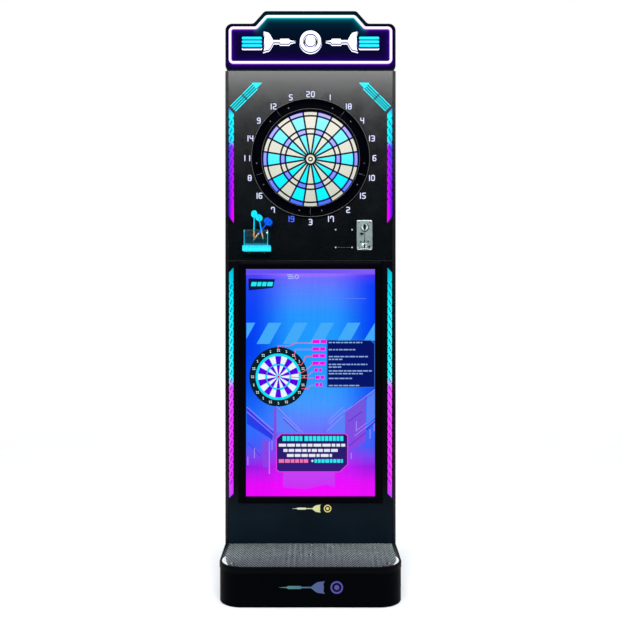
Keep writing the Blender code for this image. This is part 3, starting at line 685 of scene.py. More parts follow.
# painted highlights on the two rounded front corners: bright crescents in an emissive material
TREAD_GLINT = lit("tread_corner_highlight", lambda m: m.mix(m.remap(m.noise(240.0, 3.0), 0.3, 0.7, 0, 1), (0.92, 0.94, 0.96), (0.55, 0.60, 0.64)),
           0.90, rough=0.4, base=0.8)
corner_glints = Lump()
for sign, a0, a1, width in ((-1, 152.0, 228.0, 0.0150), (1, 26.0, -48.0, 0.0100)):
    r_out = STEP_R - 0.0100
    outer, inner_edge = [], []
    for k in range(19):
        a = math.radians(a0 + (a1 - a0) * k / 18)
        w_k = width * math.sin(math.pi * (k + 0.3) / 18.6) ** 0.8
        cx, cy = sign * (CAB_HALF - STEP_R), Y_STEP + STEP_R
        outer.append((cx + r_out * math.cos(a), cy + r_out * math.sin(a)))
        inner_edge.append((cx + (r_out - w_k) * math.cos(a), cy + (r_out - w_k) * math.sin(a)))
    ring = outer + inner_edge[::-1]
    area = sum(ring[i - 1][0] * ring[i][1] - ring[i][0] * ring[i - 1][1] for i in range(len(ring)))
    if area < 0:
        ring = ring[::-1]
    corner_glints.add(stack([[(x, y, z) for x, y in ring] for z in (TREAD_TOP - 0.0001, TREAD_TOP + 0.0004)]))
piece("tread_corner_highlights", corner_glints.mesh("tread_corner_highlights"), TREAD_GLINT, slot="tread", smooth=0)

heads = Lump()
for sx, sy in TREAD_SCREWS:
    heads.add(screw_head(0.0040, 0.0016), matrix=upward(sx, sy, TREAD_TOP))
piece("tread_screws", heads.mesh("tread_screws"), STEEL, slot="tread")


# ---------------------------------------------------------------- cabinet
dress(["side_panel_left", "side_panel_right", "top_panel", "rear_panel", "rear_door"], LAMINATE)
dress("front_panel_upper", GLOSS)
dress("front_frame_lower", KICK)
dress(["board_housing"], BLACK)
dress("sensor_mat", RUBBER)
dress("controller_box", GREY_BOX)

# half-round edge moulding on the front edges of the side panels, over the CAD edge
for side, sign in (("left", -1), ("right", 1)):
    cx = sign * (CAB_HALF - SIDE_T / 2)
    loop = []
    for k in range(13):
        a = math.pi * k / 12
        loop.append((cx + 0.0060 * math.cos(a), Y_CAB + 0.0006 - 0.0026 * math.sin(a)))
    loop += [(cx - 0.0060, Y_CAB + 0.0030), (cx + 0.0060, Y_CAB + 0.0030)]
    loops = [[(x, y, z) for x, y in loop] for z in (STEP_TOP + 0.0004, CAB_TOP - 0.0012)]
    piece(f"edge_moulding_{side}", Lump().add(stack(loops)).mesh("edge_moulding"), EDGE_BAND, slot="trim",
          smooth=50)

# a shadow line and thin bead where the upper and lower front panels meet
piece("panel_joint_bead", Lump().add(tube([(-INNER_HALF + 0.002, Y_FACE - 0.0003, SPLIT_Z + 0.0022),
                                           (INNER_HALF - 0.002, Y_FACE - 0.0003, SPLIT_Z + 0.0022)],
                                          0.0011, 10)).mesh("panel_joint_bead"), EDGE_BAND, slot="front_gloss")


# ---------------------------------------------------------------- screen
def bezel_ring(name, corners_outer, corners_inner, y_front, y_back, mat, lip, **more):
    """A frame whose inner edge slopes down to the glass."""
    steps = [(corners_outer, 0.0, y_back), (corners_outer, 0.0, y_front + 0.0012),
             (corners_outer, 0.0004, y_front + 0.0004), (corners_outer, 0.0012, y_front),
             (corners_inner, -lip, y_front), (corners_inner, -lip + 0.0009, y_front + 0.0004),
             (corners_inner, 0.0, y_front + 0.0042), (corners_inner, 0.0, y_back)]
    loops = [[(x, y, z) for x, z in rounded(inset(c, d), 6)] for c, d, y in steps]
    return piece(name, Lump().add(stack(loops, closed=True)).mesh(name), mat, smooth=30, **more)


def corners(half, z0, z1, r):
    return [(-half, z0, r), (half, z0, r), (half, z1, r), (-half, z1, r)]


bezel_ring("screen_surround", corners(0.2962, 0.3123, 1.3037, 0.0040), corners(WIN_HALF, *WIN_Z, 0.0010),
           Y_CAB, Y_CAB + 0.0080, BLACK, 0.0045, slot="bezel", replaces=["screen_bezel"])

# the picture: a canvas 1386 units wide and 2384 high, its origin at the top left of the glass
CANVAS_W, CANVAS_H = 1386.0, 2384.0
GLASS_Y = -0.0582


def canvas(x, y):
    return (-WIN_HALF + 2 * WIN_HALF * x / CANVAS_W, WIN_Z[1] - (WIN_Z[1] - WIN_Z[0]) * y / CANVAS_H)


def screen_colour(m):
    x, _, z = m.xyz
    v = m.remap(z, WIN_Z[0], WIN_Z[1], 0.0, 1.0)
    mid = m.ramp(v, srgb_ramp([
        (0.000, (248, 0, 255)), (0.055, (238, 0, 255)), (0.130, (210, 20, 248)), (0.200, (150, 50, 245)),
        (0.290, (105, 110, 252)), (0.400, (66, 150, 255)), (0.520, (34, 156, 255)), (0.680, (26, 154, 255)),
        (0.800, (36, 150, 255)), (0.900, (80, 130, 255)), (0.960, (110, 108, 255)), (1.000, (190, 120, 255))]))
    edge = m.ramp(v, srgb_ramp([
        (0.000, (235, 0, 250)), (0.055, (225, 0, 245)), (0.130, (150, 20, 230)), (0.220, (60, 90, 245)),
        (0.330, (26, 112, 255)), (0.480, (4, 80, 240)), (0.640, (0, 62, 236)), (0.780, (0, 66, 246)),
        (0.930, (8, 62, 246)), (1.000, (80, 50, 248))]))
    off = m.math("ABSOLUTE", m.math("ADD", x, -0.01))
    blend = m.remap(off, 0.06, 0.255, 0.0, 1.0, smooth=True)
    colour = m.mix(blend, mid, edge)
    rows = m.noise(4.0, 3.0, 0.6, m.scaled(1.2, 1, 60))
    cols = m.noise(4.0, 3.0, 0.6, m.scaled(40, 1, 1.5))
    streak = m.math("MULTIPLY", m.remap(rows, 0.3, 0.7, 0.96, 1.04), m.remap(cols, 0.3, 0.7, 0.95, 1.05))
    grid = m.math("MULTIPLY", m.math("SINE", m.math("MULTIPLY", x, 2600.0)), 0.012)
    streak = m.math("ADD", streak, grid)
    n = m.node("Mix", data_type="RGBA", blend_type="MULTIPLY")
    n.inputs["Factor"].default_value = 1.0
    m.feed(n.inputs[6], colour)
    c = m.node("CombineColor")
    for k in range(3):
        m.feed(c.inputs[k], streak)
    m.feed(n.inputs[7], c.outputs[0])
    # only the glass is lit, the module's sides and back are plain
    behind = m.remap(m.xyz[1], GLASS_Y + 0.0010, GLASS_Y + 0.0020, 0.0, 1.0)
    return m.mix(behind, n.outputs[2], (0.002, 0.002, 0.003))


SCREEN = lit("screen_picture", screen_colour, 1.0, rough=0.18, spec=0.2, base=0.02)
panel = Lump().add(slab(rect(-0.2755, 0.2755, 0.3290, 1.2830, 0.002), GLASS_Y, -0.0182, 0.0008))
piece("display_module", panel.mesh("display_module"), SCREEN, slot="display", replaces=["display_panel"])
cover = Lump().add(slab(rect(-0.2600, 0.2600, 0.3450, 1.2670, 0.006), -0.0178, -0.0160, 0.0006))
for k in range(7):
    z = 0.4700 + 0.1120 * k
    cover.add(prism(rect(-0.2000, 0.2000, z - 0.0040, z + 0.0040, 0.0035, 4), -0.0158, -0.0140))
for x in (-0.2480, 0.2480):
    for z in (0.3600, 0.8060, 1.2520):
        cover.add(prism(circle(0.0045, 20, x, z), -0.0158, -0.0146))
piece("display_back_cover", cover.mesh("display_back_cover"),
      metal("display_cover_steel", (0.16, 0.165, 0.17), 0.48, scale=140.0), slot="display", smooth=0)


def ink(name, rgb, strength=1.0, rgb2=None, axis=2, span=(0.34, 1.27), grain=0.06, scale=420.0):
    """A printed or lit colour, with a slow change along one axis and fine grain."""
    a = lin(*rgb)
    b = lin(*(rgb2 or rgb))

    def colour(m):
        t = m.remap(m.xyz[axis], span[0], span[1], 0.0, 1.0)
        c = m.mix(t, b, a)
        g = m.noise(scale, 2.0)
        return m.mix(m.remap(g, 0.3, 0.7, 0.0, grain * 2), c, (0.0, 0.0, 0.0))
    return lit(name, colour, strength, rough=0.3, spec=0.15, base=0.03)


class Art:
    """Flat shapes of one colour, laid on the picture as thin closed sheets."""

    def __init__(self, name, mat, level):
        self.name, self.mat, self.lump = name, mat, Lump()
        self.y = GLASS_Y - 0.00022 * level

    def shape(self, points, at=canvas):
        self.lump.add(prism([at(x, y) for x, y in points], self.y, self.y + 0.00012))
        return self

    def bar(self, x0, y0, x1, y1, slant=0.0):
        return self.shape([(x0, y1), (x1, y1), (x1 + slant, y0), (x0 + slant, y0)])

    def line(self, pts, w):
        for (ax, ay), (bx, by) in zip(pts, pts[1:]):
            d = Vector((bx - ax, by - ay))
            d.normalize()
            nx, ny = -d.y * w / 2, d.x * w / 2
            e = d * (w / 2)
            self.shape([(ax - e.x - nx, ay - e.y - ny), (bx + e.x - nx, by + e.y - ny),
                        (bx + e.x + nx, by + e.y + ny), (ax - e.x + nx, ay - e.y + ny)])
        return self

    def words(self, x0, x1, y, h, rng, small=24, big=70, gap=9):
        x = x0
        while x < x1 - small * 0.6:
            w = min(rng.uniform(small, big), x1 - x)
            self.bar(x, y - h / 2, x + w, y + h / 2)
            x += w + gap
        return self

    def sector(self, cx, cy, r0, r1, a0, a1, steps=4):
        pts = []
        for i in range(steps + 1):
            a = a0 + (a1 - a0) * i / steps
            pts.append((cx + r1 * math.sin(a), cy - r1 * math.cos(a)))
        for i in range(steps, -1, -1):
            a = a0 + (a1 - a0) * i / steps
            pts.append((cx + r0 * math.sin(a), cy - r0 * math.cos(a)))
        return self.shape(pts)

    def disc(self, cx, cy, r, steps=48):
        return self.shape([(cx + r * math.sin(2 * math.pi * k / steps), cy - r * math.cos(2 * math.pi * k / steps))
                           for k in range(steps)])

    def ring(self, cx, cy, r0, r1, steps=60):
        inner = [self_point(cx, cy, r0, k, steps) for k in range(steps)]
        outer = [self_point(cx, cy, r1, k, steps) for k in range(steps)]
        y0, y1 = self.y, self.y + 0.00012
        loops = []
        for pts, y in ((inner, y1), (inner, y0), (outer, y0), (outer, y1)):
            loops.append([(canvas(*p)[0], y, canvas(*p)[1]) for p in pts])
        self.lump.add(stack(loops, closed=True))
        return self

    def done(self):
        return piece(self.name, self.lump.mesh(self.name), self.mat, slot="display", smooth=0)


def self_point(cx, cy, r, k, steps):
    a = 2 * math.pi * k / steps
    return (cx + r * math.sin(a), cy - r * math.cos(a))


rng = random.Random(7)
# the corridor in the lower half: wide soft bands first
Art("screen_wall_dark", ink("ink_wall_dark", (0, 70, 250), rgb2=(50, 60, 235)), 1) \
    .shape([(9, 1448), (9, 1624), (279, 1790), (279, 1722)]) \
    .shape([(9, 1524), (9, 1628), (100, 1650), (279, 1795), (294, 1720)]) \
    .shape([(1295, 1660), (1386, 1575), (1386, 1610), (1295, 1700)]) \
    .shape([(1140, 1430), (1386, 1248), (1386, 1300), (1140, 1490)]).done()
Art("screen_wall_light", ink("ink_wall_light", (75, 140, 255), rgb2=(95, 130, 255)), 1) \
    .shape([(329, 1470), (329, 1716), (600, 1716), (404, 1560)]) \
    .shape([(860, 1716), (1064, 1716), (1064, 1520)]) \
    .shape([(1295, 1330), (1386, 1262), (1386, 1560), (1295, 1640)]).done()
Art("screen_wall_violet", ink("ink_wall_violet", (105, 95, 225), rgb2=(150, 60, 235), span=(0.45, 0.80)), 2) \
    .shape([(1066, 1500), (1288, 1335), (1288, 1800), (1140, 1900), (1098, 1960), (1096, 1740), (1066, 1720)]) \
    .shape([(294, 1450), (327, 1450), (327, 1760), (318, 1790), (294, 1790)]) \
    .shape([(180, 1800), (240, 1800), (240, 2080), (180, 2080)]).done()
Art("screen_floor_glow", ink("ink_floor_glow", (185, 75, 250), rgb2=(215, 40, 250), span=(0.36, 0.47)), 2) \
    .shape([(400, 2136), (952, 2136), (952, 2290), (860, 2260), (640, 2310), (400, 2290)]).done()
lines = Art("screen_wall_lines", ink("ink_line", (120, 165, 255), rgb2=(175, 130, 255)), 3)
for a, b in (((12, 1452), (292, 1690)), ((12, 1500), (292, 1738)), ((404, 1556), (560, 1700)),
             ((330, 1440), (610, 1716)), ((1060, 1480), (898, 1620)), ((1040, 1452), (890, 1590)),
             ((1386, 1262), (1060, 1500)), ((1170, 1750), (1300, 1650)), ((1040, 1545), (870, 1700)),
             ((1180, 1700), (1290, 1620)), ((1386, 1588), (1296, 1660))):
    lines.line([a, b], 7)
for x, y0, y1 in ((89, 1878, 1983), (1186, 1598, 1698), (1334, 1683, 1778), (19, 1968, 2058), (1131, 1928, 1993),
                  (1378, 1620, 1700), (279, 1800, 1900), (330, 2000, 2100), (250, 1810, 2150)):
    lines.bar(x - 5, y0, x + 5, y1)
lines.done()
Art("screen_faint_line", ink("ink_faint", (90, 130, 255)), 3).bar(1060, 306, 1290, 312).done()
dark_lines = Art("screen_wall_seams", ink("ink_seam", (20, 60, 225), rgb2=(110, 30, 215)), 3)
for a, b in (((12, 1478), (290, 1712)), ((20, 1820), (150, 1960)), ((1300, 1668), (1386, 1596)),
             ((1110, 1852), (1290, 1716)), ((404, 1575), (548, 1706)), ((1100, 1600), (1240, 1500))):
    dark_lines.line([a, b], 8)
dark_lines.done()

Art("screen_top_band", ink("ink_top_band", (128, 96, 252), rgb2=(92, 84, 252), axis=0, span=(-0.26, 0.26)), 1) \
    .bar(0, 4, 1386, 44).done()
Art("screen_top_line", ink("ink_top_line", (166, 96, 248)), 2).bar(0, 48, 1386, 54).bar(0, 0, 1386, 5).done()
stripes = Art("screen_stripes", ink("ink_stripes", (70, 175, 255), rgb2=(60, 170, 255)), 2)
for k in range(6):
    x = 112 + 283.5 * (k - 1)
    pts = [(x, 785), (x + 140, 785), (x + 268, 562), (x + 128, 562)]
    if k == 0:
        pts = [(4, 730), (4, 562), (99, 562)]
    if k == 5:
        pts = [(x + 22, 750), (1384, 565), (1384, 750)]
    stripes.shape(pts)
stripes.done()

Art("screen_tag", ink("ink_tag", (8, 26, 74), rgb2=(10, 30, 84)), 2) \
    .shape([(24, 97), (27, 223), (289, 195), (311, 105)]).done()
tag = Art("screen_tag_bars", ink("ink_tag_bar", (40, 240, 250)), 3)
for x0, x1 in ((52, 108), (118, 160), (170, 214), (224, 282)):
    tag.bar(x0, 134, x1, 178, 8)
tag.done()
mark = Art("screen_small_mark", ink("ink_small_mark", (175, 190, 255)), 2)
mark.ring(545, 78, 15, 24, 24).bar(440, 54, 500, 64).bar(452, 74, 512, 84).bar(448, 94, 516, 102)
mark.done()

# the small board
BX, BY = 347.0, 1130.0
Art("screen_board_rim", ink("ink_board_rim", (10, 26, 38), rgb2=(12, 30, 44)), 2).disc(BX, BY, 312, 72).done()
Art("screen_board_ring", ink("ink_board_cyan", (20, 235, 255), rgb2=(0, 225, 245)), 3) \
    .disc(BX, BY, 245, 72).done()
white = Art("screen_board_white", ink("ink_board_white", (240, 250, 255)), 4)
violet = Art("screen_board_violet", ink("ink_board_violet", (92, 0, 240), rgb2=(80, 0, 225)), 4)
cyan = Art("screen_board_triples", ink("ink_board_triple", (30, 225, 255)), 5)
for k in range(20):
    a = math.radians(18 * k)
    h = math.radians(9)
    (violet if k % 2 == 0 else white).sector(BX, BY, 8, 218, a - h, a + h)
    cyan.sector(BX, BY, 118, 142, a - h * 0.98, a + h * 0.98) if k % 2 else \
        cyan.sector(BX, BY, 124, 130, a - h * 0.98, a + h * 0.98)
white.done()
violet.done()
cyan.ring(BX, BY, 17, 27, 32).done()
Art("screen_board_bull", ink("ink_board_bull", (240, 20, 60)), 6).disc(BX, BY, 12, 24).done()
ticks = Art("screen_board_numbers", ink("ink_board_numbers", (215, 240, 240)), 3)
for k in range(20):
    a = math.radians(18 * k)
    x, y = BX + 278 * math.sin(a), BY - 278 * math.cos(a)
    two = ORDER[k] > 9
    for dx in ((-9, 9) if two else (0,)):
        w, hgt = (12, 26)
        ticks.bar(x + dx - w / 2, y - hgt / 2, x + dx + w / 2, y - 4)
        ticks.bar(x + dx - w / 2 + 2, y + 3, x + dx + w / 2 + 2, y + hgt / 2)
ticks.done()

coral = Art("screen_leaders", ink("ink_coral", (240, 95, 130)), 7)
for pts in ([(712, 775), (530, 775), (470, 804), (345, 804), (345, 836)],
            [(712, 843), (530, 843), (522, 900), (534, 946), (510, 950)],
            [(712, 916), (640, 918), (606, 990), (590, 1006), (565, 1000)],
            [(712, 1000), (640, 1062), (600, 1084), (560, 1084)],
            [(715, 1075), (664, 1115), (600, 1118)],
            [(725, 1146), (650, 1143), (470, 1132)],
            [(730, 1220), (690, 1222), (664, 1254), (600, 1254)]):
    coral.line(pts, 8)
coral.done()
labels = Art("screen_labels", ink("ink_magenta", (250, 10, 235)), 3)
for y, w in ((760, 150), (837, 140), (910, 136), (987, 136), (1060, 80), (1135, 96), (1212, 76)):
    x = 714 if w > 100 else (735 if w == 80 else 745)
    n = 2 if w > 100 else 2
    a = w * 0.55
    labels.bar(x, y - 19, x + a - 5, y + 19)
    labels.bar(x + a + 5, y - 19, x + w, y + 19)
labels.done()
Art("screen_table_edge", ink("ink_table_edge", (60, 104, 200)), 2) \
    .shape([(868, 741), (868, 1243), (1386, 1243), (1386, 778), (1345, 741)]).done()
Art("screen_table", ink("ink_table", (2, 16, 100), rgb2=(4, 20, 112)), 3) \
    .shape([(876, 749), (876, 1236), (1379, 1236), (1379, 784), (1338, 749)]).done()
text = Art("screen_table_lines", ink("ink_text", (140, 178, 226)), 4)
for x1, y in ((1250, 770), (1180, 845), (1325, 918), (1035, 947), (1305, 1000), (1030, 1028), (1360, 1068),
              (1255, 1097), (1140, 1147), (1220, 1222)):
    text.words(889, x1, y, 13, rng, 20, 62)
text.done()
Art("screen_box_edge", ink("ink_box_edge", (235, 60, 235)), 4) \
    .shape([(379, 1724), (1069, 1724), (1097, 1748), (1097, 2053), (1009, 2133), (354, 2133), (322, 2110),
            (322, 1776)]).done()
Art("screen_box", ink("ink_box", (26, 24, 88), rgb2=(52, 22, 128), span=(0.44, 0.60)), 5) \
    .shape([(383, 1734), (1065, 1734), (1087, 1753), (1087, 2049), (1005, 2123), (358, 2123), (332, 2105),
            (332, 1781)]).done()
title = Art("screen_box_title", ink("ink_title", (50, 235, 245)), 6)
for x0, x1 in ((392, 606), (628, 1046)):
    title.words(x0, x1, 1778, 52, rng, 30, 44, 8)
title.words(736, 1042, 2014, 38, rng, 26, 44, 8)
title.done()
body = Art("screen_box_lines", ink("ink_body", (235, 240, 250)), 6)
for x0, x1, y in ((352, 1066, 1848), (402, 986, 1903), (440, 924, 1956)):
    body.words(x0, x1, y, 30, rng, 30, 90, 12)
body.bar(700, 2008, 726, 2018).bar(708, 2000, 718, 2026)
body.done()
pink = Art("screen_box_pink", ink("ink_pink", (245, 120, 180)), 6)
pink.words(352, 690, 2014, 38, rng, 28, 60, 9)
pink.done()

# ---------------------------------------------------------------- sign
sign_rows = [(0.0, Y_CAB + 0.1000), (0.0, Y_CAB + 0.0016), (0.0005, Y_CAB + 0.0005), (0.0014, Y_CAB),
             (0.0030, Y_CAB), (0.0038, Y_CAB + 0.0004), (0.0040, Y_CAB + 0.0012), (0.0040, Y_CAB + 0.0960)]
loops = [[(x, y, z) for x, z in rounded(inset(SIGN, d), 14)] for d, y in sign_rows]
piece("sign_case", Lump().add(stack(loops)).mesh("sign_case"), SIGN_BLACK, slot="sign_housing",
      replaces=["marquee_housing"], smooth=30)


def distance_to_path(x, z, path):
    best = 1e9
    for (ax, az), (bx, bz) in zip(path, path[1:] + path[:1]):
        dx, dz = bx - ax, bz - az
        t = max(0.0, min(1.0, ((x - ax) * dx + (z - az) * dz) / (dx * dx + dz * dz + 1e-18)))
        best = min(best, math.hypot(x - ax - t * dx, z - az - t * dz))
    return best


def inside_loop(x, z, loop):
    odd = False
    for (ax, az), (bx, bz) in zip(loop, loop[1:] + loop[:1]):
        if (az > z) != (bz > z) and x < (bx - ax) * (z - az) / (bz - az) + ax:
            odd = not odd
    return odd


def zone_cyan(x, z):
    """1 under the raised top of the sign, 0 at its sides and foot."""
    side = max(0.0, min(1.0, (0.245 - abs(x)) / 0.05))
    up = max(0.0, min(1.0, (z - 2.150) / 0.08))
    return side * side * (3 - 2 * side) * up * up * (3 - 2 * up)


face_outline = rounded(inset(SIGN, 0.0043), 10)
tube_path = rounded(TUBE, 10)
# the face, cut on a fine grid so that its glow can follow the tube
pts2, ids = [], {}
outline = []
for (ax, az), (bx, bz) in zip(face_outline, face_outline[1:] + face_outline[:1]):
    steps = max(1, int(math.hypot(bx - ax, bz - az) / 0.006))
    for s in range(steps):
        outline.append((ax + (bx - ax) * s / steps, az + (bz - az) * s / steps))
inner_pts = []
gx = -0.345
while gx < 0.346:
    gz = 2.088
    while gz < 2.328:
        if inside_loop(gx, gz, outline) and distance_to_path(gx, gz, outline) > 0.0025:
            inner_pts.append((gx, gz))
        gz += 0.005
    gx += 0.005
allp = [Vector(p) for p in outline + inner_pts]
out_v, _, out_f, orig_v, _, orig_f = delaunay_2d_cdt(allp, [], [list(range(len(outline)))], 1, 1e-7, True)
front = [(v.x, Y_CAB, v.y) for v in out_v]
n_out = len(outline)
faces = [tuple(f) for f, o in zip(out_f, orig_f) if 0 in o]
ring_ids = [next(i for i, o in enumerate(orig_v) if k in o) for k in range(n_out)]
base = len(front)
verts = front + [(outline[k][0], Y_CAB + 0.0050, outline[k][1]) for k in range(n_out)]
for k in range(n_out):
    j = (k + 1) % n_out
    faces.append((ring_ids[k], base + k, base + j, ring_ids[j]))
faces.append(tuple(base + k for k in reversed(range(n_out))))
me = bpy.data.meshes.new("sign_panel")
me.from_pydata(verts, [], faces)
me.update()
tidy(me)
for key, fn in (("glow_d", lambda x, z: distance_to_path(x, z, tube_path)),
                ("glow_cyan", zone_cyan),
                ("glow_in", lambda x, z: 1.0 if inside_loop(x, z, tube_path) else 0.0)):
    a = me.attributes.new(key, "FLOAT", "POINT")
    a.data.foreach_set("value", [fn(v.co.x, v.co.z) for v in me.vertices])


# The face's colour is painted light: the tube's glow spilling onto it, fading away from the tube, dimmer at the foot
# and outside the tube.
def sign_glow(m):
    d, cyan_zone, inner = m.attr("glow_d"), m.attr("glow_cyan"), m.attr("glow_in")
    near_p = m.ramp(m.remap(d, 0.005, 0.105, 0, 1), srgb_ramp([
        (0.00, (96, 26, 180)), (0.035, (46, 8, 116)), (0.09, (27, 2, 88)), (0.20, (17, 2, 66)),
        (0.40, (9, 4, 46)), (1.0, (3, 8, 34))]))
    near_c = m.ramp(m.remap(d, 0.005, 0.105, 0, 1), srgb_ramp([
        (0.00, (0, 160, 164)), (0.035, (0, 100, 112)), (0.10, (0, 62, 76)), (0.22, (0, 34, 52)),
        (0.48, (1, 20, 40)), (1.0, (2, 11, 32))]))
    colour = m.mix(cyan_zone, near_p, near_c)
    z = m.xyz[2]
    foot = m.remap(z, 2.088, 2.125, 0.55, 1.0)
    outer_dim = m.math("ADD", m.math("MULTIPLY", inner, 1.0),
                       m.math("MULTIPLY", m.math("SUBTRACT", 1.0, inner),
                              m.remap(z, 2.118, 2.135, 0.95, 0.22)))
    k = m.math("MULTIPLY", outer_dim, m.math("MAXIMUM", foot, inner))
    near = m.remap(d, 0.0065, 0.0105, 1.0, 0.0)
    k = m.math("MAXIMUM", k, m.math("MULTIPLY", near, 0.55))
    c = m.node("CombineColor")
    for i in range(3):
        m.feed(c.inputs[i], k)
    return m.mix(1.0, colour, c.outputs[0], "MULTIPLY")


SIGN_FACE = lit("sign_face", sign_glow, 1.0, rough=0.5, spec=0.0, base=0.0)
piece("sign_panel", me, SIGN_FACE, slot="sign_face", replaces=["marquee_face"], smooth=0, clean=False)


def tube_colour(m):
    x, y, z = m.xyz
    core = m.remap(y, -0.0752, -0.0774, 0.0, 1.0, smooth=True)
    raised = m.math("MULTIPLY", m.remap(z, 2.262, 2.300, 0.0, 1.0), 1.0)
    side = m.mix(raised, lin(176, 84, 250), lin(60, 214, 222))
    top = m.mix(raised, (1.0, 0.93, 1.0), (0.93, 1.0, 1.0))
    return m.mix(core, side, top)


NEON = lit("neon_sleeve", tube_colour, 1.08, rough=0.35, spec=0.3, base=0.3)
path3 = [(x, Y_CAB - GAP - 0.0060, z) for x, z in tube_path]
piece("sign_tube", Lump().add(tube(path3, 0.0060, 16, closed=True)).mesh("sign_tube"), NEON, slot="neon",
      replaces=["marquee_tube"], smooth=80)
WHITE_LIT = lit("letter_white", lambda m: m.mix(m.remap(m.noise(260.0), 0.3, 0.7, 0, 0.25), (1.0, 1.0, 1.0),
                                               lin(225, 215, 255)), 1.15, base=0.8)
# the navy sheets behind the stripes and the emblem are painted shade: a dark line between each lit face and the lit
# lower edge below it
NAVY_SHADE = lit("letter_painted_shade", lambda m: m.mix(m.noise(80.0), lin(24, 12, 120), lin(40, 20, 165)), 0.9, base=0.3)
CYAN_LIT = lit("stripe_cyan", lambda m: m.mix(m.remap(m.xyz[0], -0.28, 0.28, 0, 1), lin(0, 225, 255),
                                             lin(20, 235, 255)), 1.0, base=0.5)
SY = Y_CAB
for side, sign in (("left", -1), ("right", 1)):
    x0, x1 = sorted((sign * 0.2806, sign * 0.1985))
    plate(f"sign_stripe_back_{side}", [rect(x0 - 0.0006, x1 + 0.0006, 2.1690, 2.2070, 0.0055)], SY - 0.0035,
          0.0034, WHITE_LIT, 0.0008, slot="neon")
    plate(f"sign_stripe_shade_{side}", [rect(x0 - 0.0008, x1 + 0.0008, 2.1738, 2.2222, 0.0055)], SY - 0.0062,
          0.0026, NAVY_SHADE, 0.0006, slot="neon")
    for k, z in enumerate((2.2160, 2.2006, 2.1852)):
        plate(f"sign_stripe_{side}_{k + 1}", [rect(x0, x1, z - 0.0053, z + 0.0053, 0.0050)], SY - 0.0105,
              0.0042, CYAN_LIT, 0.0012, slot="neon")


def dart_icon(x_tip, x_tail, z, height):
    """A plain dart seen from the side, as one outline, its tip at x_tip."""
    half = [(0.0, 0.0), (0.155, 0.07), (0.185, 0.16), (0.20, 0.24), (0.47, 0.24), (0.485, 0.10),
            (0.69, 0.10), (0.775, 0.62), (0.83, 0.86), (0.985, 1.0), (0.955, 0.62), (0.965, 0.10)]
    pts = [(x_tip + (x_tail - x_tip) * a, z + height / 2 * b) for a, b in half]
    pts += [(x_tip + (x_tail - x_tip) * a, z - height / 2 * b) for a, b in reversed(half[1:])]
    area = sum(a[0] * b[1] - b[0] * a[1] for a, b in zip(pts, pts[1:] + pts[:1]))
    return pts if area > 0 else pts[::-1]


def grown(loop, d):
    """An anticlockwise outline moved outwards by d."""
    out = []
    n = len(loop)
    for i in range(n):
        a = (Vector(loop[i]) - Vector(loop[i - 1]))
        b = (Vector(loop[(i + 1) % n]) - Vector(loop[i]))
        if a.length < 1e-9 or b.length < 1e-9:
            out.append(loop[i])
            continue
        a.normalize()
        b.normalize()
        na, nb = Vector((a.y, -a.x)), Vector((b.y, -b.x))
        k = max(1.0 + na.dot(nb), 0.55)
        q = Vector(loop[i]) + (na + nb) * (d / k)
        out.append((q.x, q.y))
    return out


EZ = 2.2030
left_dart = dart_icon(-0.062, -0.1930, EZ, 0.078)
right_dart = dart_icon(0.062, 0.1930, EZ, 0.078)
emblem = {"left": [left_dart], "right": [right_dart],
          "target": [circle(0.0430, 64, 0.0, EZ), circle(0.0310, 56, 0.0, EZ)],
          "bull": [circle(0.0200, 40, 0.0, EZ)]}
for key, loops in emblem.items():
    low = [[(x, z - 0.0042) for x, z in (grown(l, 0.0026) if i == 0 else grown(l, -0.0026))]
           for i, l in enumerate(loops)]
    mid = [[(x, z - 0.0012) for x, z in (grown(l, 0.0022) if i == 0 else grown(l, -0.0022))]
           for i, l in enumerate(loops)]
    plate(f"sign_emblem_back_{key}", low, SY - 0.0036, 0.0035, WHITE_LIT, slot="neon")
    plate(f"sign_emblem_shade_{key}", mid, SY - 0.0066, 0.0029, NAVY_SHADE, slot="neon")
    plate(f"sign_emblem_face_{key}", loops, SY - 0.0120, 0.0053, WHITE_LIT, 0.0009, slot="neon")


# ---------------------------------------------------------------- dartboard
def half_angle(radius, offset):
    return math.radians(9.0) - math.asin(offset / radius)


def cell_outline(centre, r0, r1, off, steps=9):
    out = []
    h = half_angle(r1, off)
    for i in range(steps + 1):
        out.append(polar(r1, centre + h * (1 - 2 * i / steps)))
    h = half_angle(r0, off)
    few = steps if r0 > 0.05 else 3
    for i in range(few, -1, -1):
        out.append(polar(r0, centre + h * (1 - 2 * i / few)))
    return out


loops = [circle(SPIDER_R, 180), circle(0.0197, 60)]
for k in range(20):
    for r0, r1 in CELLS:
        loops.append(cell_outline(math.radians(18.0 * k), r0, r1, BAR_HALF))
me = plate_mesh("board_spider", loops, -SPIDER_FRONT, SPIDER_FRONT - SPIDER_BACK, 0.00035, 1)
for v in me.vertices:
    v.co.z += BULL_Z
piece("board_spider", me, SPIDER, slot="spider", replaces=["spider"], smooth=35, clean=False)


